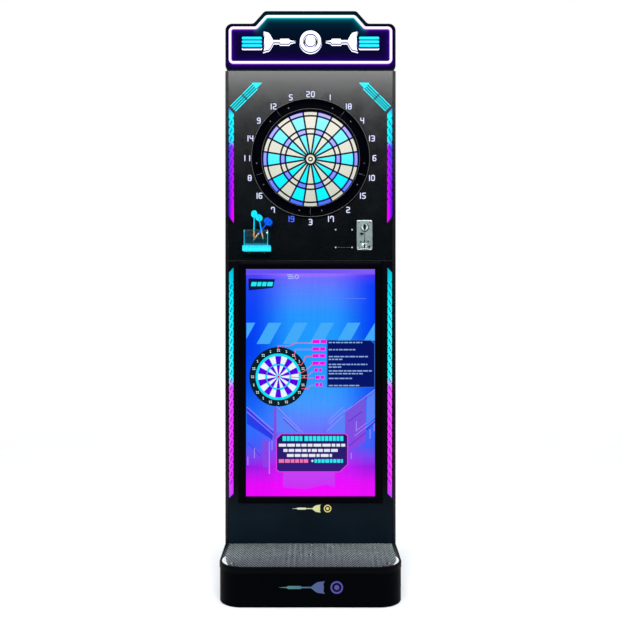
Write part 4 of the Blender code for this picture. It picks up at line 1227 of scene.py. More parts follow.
def segment_material(name, top_rgb, low_rgb, rim_shade_rgb, strength, width=0.0021, bias=0.17):
    """Translucent plastic lit from behind and a little uneven, lighter towards the top, with painted shade at its rim
    and down its dart holes.
    """
    m = Mat(name, Roughness=0.42, Specular_IOR_Level=0.06, Emission_Strength=strength)
    z = m.xyz[2]
    t = m.remap(z, BULL_Z - bias, BULL_Z + 0.17, 0.0, 1.0)
    c = m.mix(t, lin(*low_rgb), lin(*top_rgb))
    speck = m.noise(900.0, 3.0, 0.6)
    c = m.mix(m.remap(speck, 0.35, 0.7, 0.0, 0.10), c, tuple(v * 0.55 for v in lin(*low_rgb)))
    # painted shade along the cell's rim, next to the spider
    e = m.remap(m.attr("edge_d"), width * 0.55, width, 1.0, 0.0, smooth=True)
    c = m.mix(e, c, lin(*rim_shade_rgb))
    # painted shade down the dart holes, darker with depth
    depth = m.remap(m.xyz[1], -0.0444, -0.0400, 1.0, 0.25)
    k = m.node("CombineColor")
    for i in range(3):
        m.feed(k.inputs[i], depth)
    c = m.mix(1.0, c, k.outputs[0], "MULTIPLY")
    m.link("Emission Color", c)
    m.link("Base Color", m.mix(0.12, (0.002, 0.002, 0.003), c))
    m.bump(speck, 0.00003)
    return m.m


SEG_CREAM = segment_material("segment_cream", (250, 246, 232), (214, 216, 202), (10, 9, 8), 0.92, bias=0.14)
SEG_CYAN = segment_material("segment_cyan", (150, 248, 255), (0, 236, 252), (0, 16, 60), 1.06, bias=0.06)
SEG_BLUE = segment_material("segment_lavender", (206, 198, 255), (84, 120, 255), (14, 0, 156), 0.95, width=0.0026)
SEG_BULL = segment_material("bull_cream", (242, 240, 214), (240, 236, 208), (60, 58, 44), 0.88)
SEG_EYE = segment_material("bull_eye", (84, 88, 74), (78, 82, 70), (40, 42, 34), 0.60, 0.0012)

HOLE_R, HOLE_SIDES = 0.00155, 8


def perforated(outline_fn, holes, bottom_z, flange, chamfer=0.0004):
    """A block with blind dart holes. outline_fn(d) gives its outline set in by d, in the board's view."""
    top, side = outline_fn(chamfer), outline_fn(0.0)
    n = len(top)
    pts = [Vector(p) for p in top]
    rings = []
    for cx, cy in holes:
        ids = []
        for k in range(HOLE_SIDES):
            a = 2 * math.pi * (k + 0.5) / HOLE_SIDES
            ids.append(len(pts))
            pts.append(Vector((cx + HOLE_R * math.cos(a), cy + HOLE_R * math.sin(a))))
        rings.append(ids)
    polys = [list(range(n))] + rings
    out_v, _, out_f, orig_v, _, orig_f = delaunay_2d_cdt(pts, [], polys, 1, 1e-8, True)
    back = [o[0] if o else None for o in orig_v]
    verts = [(p.x, p.y, SEG_FRONT) for p in pts]
    faces, dist = [], [0.0] * n
    for f, o in zip(out_f, orig_f):
        if 0 in o and len(o) == 1 and all(back[i] is not None for i in f):
            faces.append(tuple(back[i] for i in f))
    dist += [0.01] * (len(pts) - n)
    for (cx, cy), ids in zip(holes, rings):
        for i in ids:
            p = pts[i]
            dist[i] = min(distance_to_path(p.x, p.y, top), 0.01)
        lower = []
        for i in ids:
            p = pts[i]
            lower.append(len(verts))
            verts.append((cx + (p.x - cx) * 0.62, cy + (p.y - cy) * 0.62, SEG_FRONT - 0.0016))
            dist.append(dist[i])
        floor = []
        for i in ids:
            p = pts[i]
            floor.append(len(verts))
            verts.append((cx + (p.x - cx) * 0.55, cy + (p.y - cy) * 0.55, SEG_FRONT - 0.0052))
            dist.append(dist[i])
        for a, b in ((ids, lower), (lower, floor)):
            for k in range(HOLE_SIDES):
                j = (k + 1) % HOLE_SIDES
                faces.append((a[k], a[j], b[j], b[k]))
        faces.append(tuple(floor))
    rows = [list(range(n))]
    levels = [(0.0, SEG_FRONT - chamfer), (0.0, SEG_WEB_FRONT), (-flange, SEG_WEB_FRONT), (-flange, bottom_z)]
    for d, z in levels:
        row = []
        for p in outline_fn(d):
            row.append(len(verts))
            verts.append((p[0], p[1], z))
            dist.append(0.0)
        rows.append(row)
    for a, b in zip(rows, rows[1:]):
        for k in range(n):
            j = (k + 1) % n
            faces.append((a[k], a[j], b[j], b[k]))
    faces.append(tuple(rows[-1]))
    return [board(*p) for p in verts], faces, dist


def dist_mesh(name, verts, faces, dist):
    me = bpy.data.meshes.new(name)
    me.from_pydata(verts, [], faces)
    me.update()
    a = me.attributes.new("edge_d", "FLOAT", "POINT")
    a.data.foreach_set("value", dist)
    return me


HOLE_PITCH = 0.0052
for k, value in enumerate(ORDER):
    centre = math.radians(18.0 * k)
    body_name = f"sector_{value:02d}"
    for zi, (r0, r1) in enumerate(CELLS):
        lo, hi = r0 + SEG_CLEAR, r1 - SEG_CLEAR
        margin = HOLE_R + 0.0011
        usable = hi - lo - 2 * margin
        count = max(1, int(usable / HOLE_PITCH) + 1)
        holes = []
        for i in range(count):
            r = (lo + hi) / 2 if count == 1 else lo + margin + usable * i / (count - 1)
            span = half_angle(r, min(BAR_HALF + SEG_CLEAR + margin, r * 0.9))
            width = 2 * span * r
            if span <= 0:
                if r > 0.028 and half_angle(r, BAR_HALF + SEG_CLEAR + HOLE_R + 0.0005) > 0:
                    holes.append(polar(r, centre))
                continue
            m_count = max(1, int(width / HOLE_PITCH) + 1)
            for j in range(m_count):
                a = 0.0 if m_count == 1 else -span + 2 * span * j / (m_count - 1)
                holes.append(polar(r, centre + a))

        def outline_fn(d, lo=lo, hi=hi, centre=centre):
            return cell_outline(centre, lo + d, hi - d, BAR_HALF + SEG_CLEAR + d)

        verts, faces, dist = perforated(outline_fn, holes, SEG_WEB_BACK, 0.0007)
        name = f"segment_{value:02d}_{ZONES[zi]}"
        mat = SEG_CREAM if k % 2 == 0 else (SEG_CYAN if zi in (0, 2) else SEG_BLUE)
        ob = piece(name, dist_mesh(name, verts, faces, dist), mat, body=body_name,
                   slot="segment_cream" if k % 2 == 0 else "segment_cyan", smooth=0)
        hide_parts(body_name)


def ring_block(name, r_in, r_out, rings, mats, body_name, bottom, flange_r):
    """The bulls: discs with rings of holes. r_in is 0 for a solid disc."""
    steps = 40

    def outline_fn(d):
        return circle(r_out - d, steps)
    holes = []
    for r, count in rings:
        holes += [(0.0, 0.0)] if count == 1 else circle(r, count, phase=math.pi / 2)
    top = outline_fn(0.0005)
    n = len(top)
    pts = [Vector(p) for p in top]
    polys = [list(range(n))]
    inner_ids = []
    if r_in:
        inner_ids = list(range(n, n + steps))
        pts += [Vector(p) for p in circle(r_in + 0.0004, steps)]
        polys.append(inner_ids)
    ids_list = []
    for cx, cy in holes:
        ids = []
        for k in range(HOLE_SIDES):
            a = 2 * math.pi * (k + 0.5) / HOLE_SIDES
            ids.append(len(pts))
            pts.append(Vector((cx + HOLE_R * math.cos(a), cy + HOLE_R * math.sin(a))))
        ids_list.append(ids)
        polys.append(ids)
    out_v, _, out_f, orig_v, _, orig_f = delaunay_2d_cdt(pts, [], polys, 1, 1e-8, True)
    back = [o[0] if o else None for o in orig_v]
    verts = [(p.x, p.y, SEG_FRONT) for p in pts]
    dist = [min(r_out - p.length, (p.length - r_in) if r_in else 1.0) for p in pts]
    faces = [tuple(back[i] for i in f) for f, o in zip(out_f, orig_f) if 0 in o and len(o) == 1]
    for (cx, cy), ids in zip(holes, ids_list):
        lower, floor = [], []
        for store, s, z in ((lower, 0.62, SEG_FRONT - 0.0016), (floor, 0.55, SEG_FRONT - 0.0052)):
            for i in ids:
                p = pts[i]
                store.append(len(verts))
                verts.append((cx + (p.x - cx) * s, cy + (p.y - cy) * s, z))
                dist.append(dist[i])
        for a, b in ((ids, lower), (lower, floor)):
            for k in range(HOLE_SIDES):
                j = (k + 1) % HOLE_SIDES
                faces.append((a[k], a[j], b[j], b[k]))
        faces.append(tuple(floor))
    rows = [list(range(n))]
    for r, z in ((r_out, SEG_FRONT - 0.0005), (r_out, SEG_WEB_FRONT), (flange_r, SEG_WEB_FRONT), (flange_r, bottom)):
        if abs(r - r_out) < 1e-9 and z == SEG_WEB_FRONT and flange_r == r_out:
            continue
        row = []
        for p in circle(r, steps):
            row.append(len(verts))
            verts.append((p[0], p[1], z))
            dist.append(0.0)
        rows.append(row)
    if r_in:
        low = []
        for p in circle(r_in, steps):
            low.append(len(verts))
            verts.append((p[0], p[1], bottom))
            dist.append(0.0)
        rim = []
        for p in circle(r_in, steps):
            rim.append(len(verts))
            verts.append((p[0], p[1], SEG_FRONT - 0.0004))
            dist.append(0.0)
        rows += [low, rim, inner_ids]
    for a, b in zip(rows, rows[1:]):
        for k in range(steps):
            j = (k + 1) % steps
            faces.append((a[k], a[j], b[j], b[k]))
    if not r_in:
        faces.append(tuple(rows[-1]))
    me = dist_mesh(name, [board(*p) for p in verts], faces, dist)
    return piece(name, me, mats, body=body_name, slot="bull_cream" if r_in else "bull_dark", smooth=0,
                 replaces=[body_name])


ring_block("bull_outer_cap", 0.0085, 0.0194, [(0.0116, 14), (0.0164, 20)], SEG_BULL, "outer_bull", SEG_WEB_BACK,
           0.0212)
ring_block("bull_inner_cap", 0.0, 0.0082, [(0.0, 1), (0.0052, 6)], SEG_EYE, "inner_bull", SEG_WEB_BACK, 0.0082)
me = Lump().add(lathe([(0.0008, SEG_FRONT + 0.0004), (0.0044, SEG_FRONT + 0.0004), (0.0044, SEG_FRONT - 0.0004),
                       (0.0008, SEG_FRONT - 0.0004), (0.0008, SEG_FRONT + 0.0004)], 28),
                matrix=facing(0, BULL_Z, 0)).mesh("bull_centre_ring")
piece("bull_centre_ring", me,
      lit("bull_ring_cream", lambda m: m.mix(m.noise(500.0), lin(252, 250, 240), lin(240, 238, 224)), 1.0, base=0.5),
      body="inner_bull", slot="bull_cream")

# the surround, five mouldings with a lip at each edge
RING_PROFILE = [(0.2430, 0.0648), (0.2430, 0.0668), (0.2422, 0.0700), (0.2416, 0.0745), (0.2404, 0.0768),
                (0.2388, 0.0780), (0.2368, 0.0783), (0.2350, 0.0776), (0.2335, 0.0770), (0.2080, 0.0770),
                (0.2066, 0.0776), (0.2046, 0.0785), (0.2024, 0.0782), (0.2006, 0.0770), (0.1996, 0.0752),
                (0.1990, 0.0725), (0.1990, 0.0463), (0.2052, 0.0463), (0.2052, 0.0648)]
ring_screws = Lump()
for k, name in enumerate(("top", "upper_right", "lower_right", "lower_left", "upper_left")):
    span = math.radians(72.0 - 0.22)
    start = math.radians(72.0 * k) - span / 2
    steps = 30
    loops = []
    ease = 0.0007
    for i in range(steps + 1):
        a = start + span * i / steps
        shrink = 0.0
        loops.append([board(*polar(r, a), z) for r, z in RING_PROFILE])
    part = stack(loops)
    piece(f"surround_{name}", Lump().add(part).mesh(f"surround_{name}"), RING, slot="surround",
          replaces=[f"surround_arc_{name}"], smooth=35)
    for off in (-24, 24):
        a = math.radians(72.0 * k + off)
        x, y = polar(0.2208, a)
        ring_screws.add(screw_head(0.0031, 0.0012), matrix=facing(x, y + BULL_Z, -0.0770))
piece("surround_screws", ring_screws.mesh("surround_screws"), DARK_STEEL, slot="surround")
# thin beads along the outer and inner lips: real beads that catch the lights, given a grey colour that paints in more
# of their highlight
LIP_SHEEN = plastic("surround_lip_sheen", (0.085, 0.078, 0.074), 0.30, 0.5, grain=900.0, depth=0.00001)
lips = Lump()
for radius, z, thick in ((0.2412, 0.0774, 0.0009), (0.2003, 0.0778, 0.0008)):
    pts = [board(*polar(radius, 2 * math.pi * k / 160), z) for k in range(160)]
    lips.add(tube(pts, thick, 8, closed=True))
piece("surround_lips", lips.mesh("surround_lips"), LIP_SHEEN, slot="surround", smooth=80)
seams = Lump()
SEAM = metal("seam_highlight", (0.13, 0.13, 0.14), 0.40, scale=900.0)
for k in range(5):
    a = math.radians(36 + 72 * k)
    d = Vector((math.cos(a), -math.sin(a)))
    pts = []
    for r in (0.2088, 0.2330):
        x, y = polar(r, a)
        pts.append(board(x + d.x * 0.0007, y + d.y * 0.0007, 0.0770))
    seams.add(tube(pts, 0.0005, 6))
piece("surround_seam_beads", seams.mesh("surround_seam_beads"), SEAM, slot="surround")

# numbers round the board: strokes with round ends
GW, GH = 0.0118, 0.0212
GLYPHS = {
    "0": [([(0, 0), (GW, 0), (GW, GH), (0, GH)], True)],
    "1": [([(GW, 0), (GW, GH)], False)],
    "2": [([(0, GH), (GW, GH), (GW, GH * 0.52), (0, GH * 0.46), (0, 0), (GW, 0)], False)],
    "3": [([(0, GH), (GW, GH), (GW, 0), (0, 0)], False), ([(GW * 0.25, GH / 2), (GW, GH / 2)], False)],
    "4": [([(0, GH), (0, GH * 0.5), (GW, GH * 0.5)], False), ([(GW, GH), (GW, 0)], False)],
    "5": [([(GW, GH), (0, GH), (0, GH * 0.54), (GW, GH * 0.48), (GW, 0), (0, 0)], False)],
    "6": [([(GW, GH), (0, GH), (0, 0), (GW, 0), (GW, GH * 0.54), (0, GH * 0.54)], False)],
    "7": [([(0, GH * 0.68), (0, GH), (GW, GH), (GW, 0)], False)],
    "8": [([(0, 0), (GW, 0), (GW, GH), (0, GH)], True), ([(0, GH / 2), (GW, GH / 2)], False)],
    "9": [([(0, 0), (GW, 0), (GW, GH), (0, GH), (0, GH * 0.48), (GW, GH * 0.48)], False)],
}


def soften(points, closed, r=0.0048):
    out = []
    n = len(points)
    for i, p in enumerate(points):
        if not closed and i in (0, n - 1):
            out.append(p)
            continue
        a, b, c = Vector(points[i - 1]), Vector(p), Vector(points[(i + 1) % n])
        u, v = (a - b), (c - b)
        t = min(r, u.length * 0.45, v.length * 0.45)
        s, e = b + u.normalized() * t, b + v.normalized() * t
        for k in range(4):
            w = k / 3
            q = s * (1 - w) ** 2 + b * 2 * w * (1 - w) + e * w * w
            out.append((q.x, q.y))
    return out


def number_part(text, x, z, scale, y, radius, flat):
    lump = Lump()
    pitch = GW + 0.0080
    at = -(pitch * (len(text) - 1) + GW) / 2 - (GW / 2 if text == "1" else 0.0)
    if text[0] == "1" and len(text) > 1:
        at -= 0.0030
    for ch in text:
        for pts, closed in GLYPHS[ch]:
            path = [(x + (at + px) * scale, y, z + (py - GH / 2) * scale) for px, py in soften(pts, closed)]
            lump.add(tube(path, radius, 10, closed=closed, flat=flat))
        at += pitch
    return lump


NUM_WHITE = lit("number_white", lambda m: m.mix(m.remap(m.noise(200.0), 0.3, 0.7, 0, 1), lin(206, 214, 255),
                                               lin(242, 246, 255)), 1.0, base=0.3)
NUM_BLUE = lit("number_blue", lambda m: m.mix(m.noise(150.0), lin(60, 90, 250), lin(90, 120, 255)), 1.0, base=0.5)
NUM_EDGE = lit("number_edge", lambda m: m.mix(m.noise(150.0), lin(6, 8, 84), lin(10, 14, 110)), 0.8, base=0.2)
for k, value in enumerate(ORDER):
    x, z = polar(0.2620, math.radians(18.0 * k))
    lump = number_part(str(value), x, BULL_Z + z, 1.0, Y_FACE - 0.0002, 0.0020, 0.50)
    piece(f"number_{value:02d}", lump.mesh(f"number_{value:02d}"), NUM_BLUE if value == 19 else NUM_WHITE,
          slot="neon", smooth=60)
    lump = number_part(str(value), x, BULL_Z + z, 1.0, Y_FACE - 0.0002, 0.0032, 0.12)
    piece(f"number_edge_{value:02d}", lump.mesh(f"number_edge_{value:02d}"), NUM_EDGE, slot="neon", smooth=60)

# ---------------------------------------------------------------- light strips and corner marks
def strip_colour(stops):
    def colour(m):
        x, _, z = m.xyz
        along = m.ramp(m.remap(z, 0.33, 1.94, 0.0, 1.0), stops[0])
        inner_side = m.ramp(m.remap(z, 0.33, 1.94, 0.0, 1.0), stops[1])
        off = m.math("ABSOLUTE", x)
        t = m.remap(off, 0.3165, 0.3325, 1.0, 0.0, smooth=True)
        lit_colour = m.mix(t, along, inner_side)
        low = m.remap(z, 1.30, 1.40, 1.0, 0.0)
        far = m.remap(m.math("ABSOLUTE", m.math("SUBTRACT", off, 0.3245)), 0.0078, 0.0096, 0.0, 0.93)
        return m.mix(m.math("MULTIPLY", low, far), lit_colour, (0.001, 0.002, 0.010))
    return colour


def zpos(z):
    return (z - 0.33) / (1.94 - 0.33)


upper_out = srgb_ramp([(zpos(1.46), (90, 0, 240)), (zpos(1.60), (110, 0, 255)), (zpos(1.775), (60, 60, 250)),
                       (zpos(1.80), (0, 200, 250)), (zpos(1.90), (0, 225, 255)), (zpos(1.93), (40, 120, 220))])
upper_in = srgb_ramp([(zpos(1.46), (235, 0, 250)), (zpos(1.60), (205, 0, 255)), (zpos(1.775), (170, 0, 250)),
                      (zpos(1.80), (0, 235, 255)), (zpos(1.90), (0, 245, 255)), (zpos(1.93), (30, 160, 235))])
lower_out = srgb_ramp([(zpos(0.34), (170, 70, 245)), (zpos(0.42), (245, 60, 240)), (zpos(0.62), (235, 70, 255)),
                       (zpos(0.79), (240, 90, 250)), (zpos(0.83), (90, 232, 250)), (zpos(1.15), (20, 226, 240)),
                       (zpos(1.27), (0, 180, 205))])
lower_in = srgb_ramp([(zpos(0.34), (200, 50, 250)), (zpos(0.42), (212, 40, 245)), (zpos(0.62), (235, 50, 250)),
                      (zpos(0.79), (210, 80, 255)), (zpos(0.83), (20, 232, 245)), (zpos(1.15), (0, 228, 242)),
                      (zpos(1.27), (0, 170, 200))])
STRIP_UP = lit("strip_upper", strip_colour((upper_out, upper_in)), 1.05, rough=0.3, base=0.3)
STRIP_LOW = lit("strip_lower", strip_colour((lower_out, lower_in)), 1.05, rough=0.3, base=0.3)
dress(["light_strip_upper_left", "light_strip_upper_right"], STRIP_UP)
dress(["light_strip_lower_left", "light_strip_lower_right"], STRIP_LOW)
LINK = lit("strip_link", lambda m: m.ramp(m.remap(m.xyz[2], 0.33, 1.94, 0, 1), srgb_ramp([
    (0.0, (95, 0, 255)), (zpos(0.78), (110, 0, 250)), (zpos(0.82), (0, 90, 130)), (zpos(1.30), (0, 60, 120)),
    (zpos(1.78), (50, 0, 200)), (zpos(1.81), (0, 80, 150)), (1.0, (0, 80, 150))])), 0.8, base=0.1)
STRIP_FRONT = Y_FACE - GAP - 0.0042
for level, z_top, count in (("upper", 1.8710, 11), ("lower", 1.2010, 26)):
    pitch = 0.0327 if level == "upper" else 0.0320
    for side, sign in (("left", -1), ("right", 1)):
        marks, notches = Lump(), Lump()
        cx = sign * 0.3245
        for k in range(count):
            z = z_top - pitch * k
            s = 1 if k % 2 == 0 else 1
            pts = []
            for i in range(9):
                t = i / 8 * 2 - 1
                pts.append((cx + s * sign * -0.0030 * math.sin(t * 2.6), STRIP_FRONT - 0.0001, z + 0.0068 * t))
            marks.add(tube(pts, 0.0015, 8, flat=0.30))
            for t in (-1, 1):
                marks.add(tube([(cx + s * sign * -0.0030 * math.sin(t * 2.6), STRIP_FRONT - 0.0001,
                                 z + 0.0068 * t - 0.0004),
                                (cx + s * sign * -0.0030 * math.sin(t * 2.6), STRIP_FRONT - 0.0001,
                                 z + 0.0068 * t + 0.0004)], 0.0021, 10, flat=0.25))
            for edge in (-1, 1):
                ex = cx + edge * 0.0101
                zz = z + pitch / 2 + (0.0022 if edge > 0 else -0.0022)
                tri = [(ex, zz - 0.0042), (ex, zz + 0.0042), (ex - edge * 0.0034, zz + 0.0008 * edge)]
                if edge > 0:
                    tri = [(ex, zz - 0.0054), (ex, zz + 0.0054), (ex - 0.0044, zz + 0.0010)]
                else:
                    tri = [(ex, zz + 0.0054), (ex, zz - 0.0054), (ex + 0.0044, zz - 0.0010)]
                notches.add(prism(tri, STRIP_FRONT - 0.0004, STRIP_FRONT + 0.0002))
        piece(f"strip_links_{level}_{side}", marks.mesh("strip_links"), LINK, slot=f"strip_{level}", smooth=60)
        piece(f"strip_notches_{level}_{side}", notches.mesh("strip_notches"), BLACK, slot=f"strip_{level}", smooth=0)

# the corner bars and the gaps between them are printed marks given their own light: painted glow
DECAL = lit("decal_cyan", lambda m: m.mix(m.remap(m.noise(300.0), 0.3, 0.7, 0, 1), lin(0, 226, 246),
                                         lin(40, 246, 255)), 1.15, base=1.0)
DECAL_BLUE = lit("decal_blue", lambda m: m.mix(m.noise(90.0), lin(0, 6, 34), lin(0, 9, 44)), 0.2, base=0.0)
for side, sign in (("left", -1), ("right", 1)):
    bars, back = Lump(), Lump()
    # four bars at 45 degrees, each split once
    ax, az = -0.3300, 1.9400
    u, w = Vector((1, 1)).normalized(), Vector((1, -1)).normalized()
    o = Vector((ax, az))
    for i in range(4):
        s = o + w * (0.0091 * i)
        for a, b in ((0.0, 0.0640), (0.0700, 0.1290)):
            shift = 0.0 if a == 0.0 else 0.0
            p0, p1 = s + u * (a + shift), s + u * b
            quad = [p0, p0 + w * 0.0037 + u * 0.0030, p1 + w * 0.0037 + u * 0.0030, p1]
            loop = [(q.x * -sign if sign > 0 else q.x, q.y) for q in quad]
            bars.add(prism(loop, Y_FACE - 0.0009, Y_FACE - 0.0001))
        if i < 3:
            g = s + w * 0.0037
            quad = [g + u * 0.003, g + w * 0.0054 + u * 0.004, g + w * 0.0054 + u * 0.1295, g + u * 0.1285]
            loop = [(q.x * -sign if sign > 0 else q.x, q.y) for q in quad]
            back.add(prism(loop, Y_FACE - 0.0007, Y_FACE - 0.0001))
    tri = [(-0.2405, 2.0360), (-0.1992, 2.0360), (-0.2215, 2.0130)]
    loop = [(x * -sign if sign > 0 else x, z) for x, z in tri]
    bars.add(prism(loop, Y_FACE - 0.0009, Y_FACE - 0.0001))
    piece(f"corner_bars_{side}", bars.mesh("corner_bars"), DECAL, slot="strip_upper", smooth=0)
    piece(f"corner_gaps_{side}", back.mesh("corner_gaps"), DECAL_BLUE, slot="strip_upper", smooth=0)


# ---------------------------------------------------------------- plain marks
# printed marks given their own light: painted glow
def gradient_mark(name, stops, x0, x1, strength, base=0.5):
    return lit(name, lambda m: m.ramp(m.remap(m.xyz[0], x0, x1, 0, 1), srgb_ramp(stops)), strength, rough=0.35,
               base=base)


MARK_GOLD = gradient_mark("mark_gold", [(0, (238, 238, 226)), (0.45, (224, 236, 190)), (1, (236, 214, 110))],
                          -0.08, 0.09, 0.75)
MARK_FOIL = gradient_mark("mark_foil", [(0, (100, 176, 158)), (0.45, (92, 124, 160)), (1, (104, 84, 196))],
                          -0.125, 0.13, 0.50)
mz = 0.2907
plate("kick_mark_dart", [dart_icon(-0.0760, 0.0440, mz, 0.0320)], Y_FACE - 0.0010, 0.0009, MARK_GOLD,
      slot="trim")
plate("kick_mark_rings", [circle(0.0155, 44, 0.0700, mz), circle(0.0112, 36, 0.0700, mz)], Y_FACE - 0.0010,
      0.0009, MARK_GOLD, slot="trim")
plate("kick_mark_bull", [circle(0.0060, 28, 0.0700, mz)], Y_FACE - 0.0010, 0.0009, MARK_GOLD, slot="trim")
pz = 0.0760
PY = Y_STEP + PLINTH_INSET
plate("plinth_mark_dart", [dart_icon(-0.1180, 0.0560, pz, 0.0460)], PY - 0.0012, 0.0014, MARK_FOIL, slot="trim")
plate("plinth_mark_rings", [circle(0.0235, 56, 0.0980, pz), circle(0.0172, 48, 0.0980, pz)], PY - 0.0012,
      0.0014, MARK_FOIL, slot="trim")
plate("plinth_mark_bull", [circle(0.0095, 32, 0.0980, pz)], PY - 0.0012, 0.0014, MARK_FOIL, slot="trim")

# ---------------------------------------------------------------- blanking window, screws
window = Lump().add(prism(rect(0.0965, 0.1770, 1.3545, 1.4405, 0.004), Y_FACE - 0.0005, Y_FACE - 0.0001))
piece("blanking_window", window.mesh("blanking_window"), GLOSS, slot="front_gloss", smooth=0)
heads = Lump()
for x in (0.1030, 0.1705):
    for z in (1.4338, 1.3613):
        heads.add(screw_head(0.0032, 0.0016), matrix=facing(x, z, Y_FACE - 0.0005))
# the window screw heads glow in an emissive material: painted highlights
piece("window_screws", heads.mesh("window_screws"),
      lit("screw_painted_glint", lambda m: m.mix(m.noise(900.0), (0.55, 0.57, 0.56), (0.8, 0.82, 0.8)), 0.55, rough=0.25,
          spec=0.8, base=0.9), slot="trim")
piece("window_groove", Lump().add(tube([(0.1090, Y_FACE - 0.0008, 1.3613), (0.1645, Y_FACE - 0.0008, 1.3613)],
                                       0.0004, 6)).mesh("window_groove"), SEAM, slot="trim")
heads = Lump()
for x in (-0.2510, -0.1880):
    heads.add(screw_head(0.0028, 0.0012), matrix=facing(x, 1.3385, Y_FACE))
piece("holder_screws", heads.mesh("holder_screws"), DARK_STEEL, slot="trim")

# ---------------------------------------------------------------- coin mechanism
CF = Y_FACE - GAP          # the panel side of the plate
CP = CF - 0.0040           # its front face
cup = rect(COIN_X - 0.0130, COIN_X + 0.0130, 1.3570, 1.3795, 0.0006, 2)
btn = circle(0.0048, 28, COIN_X - 0.0120, 1.4160)
slot_hole = rect(COIN_X - 0.0015, COIN_X + 0.0015, BOSS_Z - 0.0120, BOSS_Z + 0.0120, 0.0012, 4)
outline_c = rect(COIN_X - 0.0320, COIN_X + 0.0320, COIN_Z - 0.0610, COIN_Z + 0.0610, 0.0050, 8)
plate("coin_faceplate", [outline_c, cup, btn, slot_hole], CP, 0.0040, ZINC, 0.0009, slot="zinc", smooth=12,
      replaces=["coin_plate"])
# raised border, boss with a lens-shaped mouth, and the acceptor's body behind
rim_out = rect(COIN_X - 0.0308, COIN_X + 0.0308, COIN_Z - 0.0598, COIN_Z + 0.0598, 0.0042, 8)
rim_in = rect(COIN_X - 0.0282, COIN_X + 0.0282, COIN_Z - 0.0572, COIN_Z + 0.0572, 0.0030, 8)
plate("coin_plate_border", [rim_out, rim_in], CP - 0.0010, 0.0012, ZINC, 0.0004, slot="zinc")
lens = []
for k in range(24):
    a = 2 * math.pi * k / 24
    lens.append((COIN_X + 0.0062 * math.copysign(abs(math.cos(a)) ** 1.3, math.cos(a)),
                 BOSS_Z + 0.0142 * math.sin(a)))
# a dark ring set low and to the right of the boss: the boss's painted shadow
plate("coin_boss_shadow", [circle(0.0178, 48, COIN_X + 0.0010, BOSS_Z - 0.0010),
                         circle(0.0152, 48, COIN_X, BOSS_Z)], CP - 0.0004, 0.0005, ZINC_DARK, slot="zinc")
boss_ring = [circle(0.0150, 48, COIN_X, BOSS_Z), lens]
plate("coin_boss_ring", boss_ring, CP - 0.0080, 0.0082, ZINC, 0.0014, 3, slot="zinc")
plate("coin_boss_floor", [circle(0.0140, 40, COIN_X, BOSS_Z), slot_hole], CP - 0.0026, 0.0028, ZINC_DARK, slot="zinc")
# bright emissive zinc for painted highlights on the coin plate
ZINC_GLINT = lit("zinc_painted_highlight", lambda m: m.mix(m.noise(700.0), (0.66, 0.70, 0.70), (0.92, 0.95, 0.95)), 0.85, rough=0.3,
                  spec=0.9, base=0.9)
boss_glints = Lump()
for s in (-1, 1):
    # a painted highlight each side of the slot, curved and meeting at the foot
    outer, inner_edge = [], []
    for k in range(13):
        a = math.radians(-88 + 118 * k / 12)
        outer.append((s * (0.0020 + 0.0100 * math.cos(a)), 0.0112 * math.sin(a)))
        inner_edge.append((s * (0.0020 + (0.0100 - 0.0052 * math.sin(math.pi * (k + 0.4) / 13)) * math.cos(a)),
                           (0.0112 - 0.0046 * math.sin(math.pi * (k + 0.4) / 13)) * math.sin(a)))
    ring = outer + inner_edge[::-1]
    loop = [(COIN_X + x, BOSS_Z + z) for x, z in (ring if s > 0 else ring[::-1])]
    boss_glints.add(prism(loop, CP - 0.0090, CP - 0.0072))
piece("coin_boss_highlights", boss_glints.mesh("coin_boss_highlights"), ZINC_GLINT, slot="zinc", smooth=0)
acceptor = Lump()
acceptor.add(prism(rect(COIN_X - 0.0265, COIN_X + 0.0265, 1.3850, 1.4665, 0.002), CF + 0.0002, CF + 0.0900))
acceptor.add(prism(rect(COIN_X - 0.0265, COIN_X + 0.0265, 1.3537, 1.3560, 0.0005), CF + 0.0002, CF + 0.0900))
acceptor.add(prism(rect(COIN_X - 0.0265, COIN_X - 0.0137, 1.3562, 1.3848, 0.0005), CF + 0.0002, CF + 0.0900))
acceptor.add(prism(rect(COIN_X + 0.0137, COIN_X + 0.0265, 1.3562, 1.3848, 0.0005), CF + 0.0002, CF + 0.0900))
acceptor.add(prism(rect(COIN_X - 0.0135, COIN_X + 0.0135, 1.3562, 1.3848, 0.0005), CF + 0.0300, CF + 0.0900))
piece("coin_acceptor", acceptor.mesh("coin_acceptor"), ZINC_DARK, slot="zinc")
detail = Lump()
for x in (-0.0262, 0.0262):
    for z in (-0.0545, 0.0545):
        detail.add(screw_head(0.0036, 0.0014, 4), matrix=facing(COIN_X + x, COIN_Z + z, CP))
piece("coin_plate_screws", detail.mesh("coin_plate_screws"), STEEL, slot="zinc")
dark = Lump()
dark.add(prism(rect(COIN_X - 0.0024, COIN_X + 0.0018, 1.3806, 1.3925, 0.0014, 3), CP - 0.0006, CP + 0.0002))
dark.add(prism(rect(COIN_X - 0.0010, COIN_X + 0.0010, 1.3925, 1.4268, 0.0008, 3), CP - 0.0006, CP + 0.0002))
dark.add(prism(rect(COIN_X - 0.0192, COIN_X - 0.0022, 1.4158, 1.4192, 0.0012, 3), CP - 0.0006, CP + 0.0002))
for x, z, r in ((-0.0152, 1.3838, 0.0040), (0.0140, 1.3866, 0.0036), (0.0190, 1.3640, 0.0044),
                (0.0205, 1.4060, 0.0018)):
    dark.add(prism(circle(r, 20, COIN_X + x, z), CP - 0.0006, CP + 0.0002))
for x in (-0.0262, 0.0262):
    for z in (-0.0545, 0.0545):
        dark.add(prism(circle(0.0056, 20, COIN_X + x, COIN_Z + z), CP - 0.0006, CP + 0.0002))
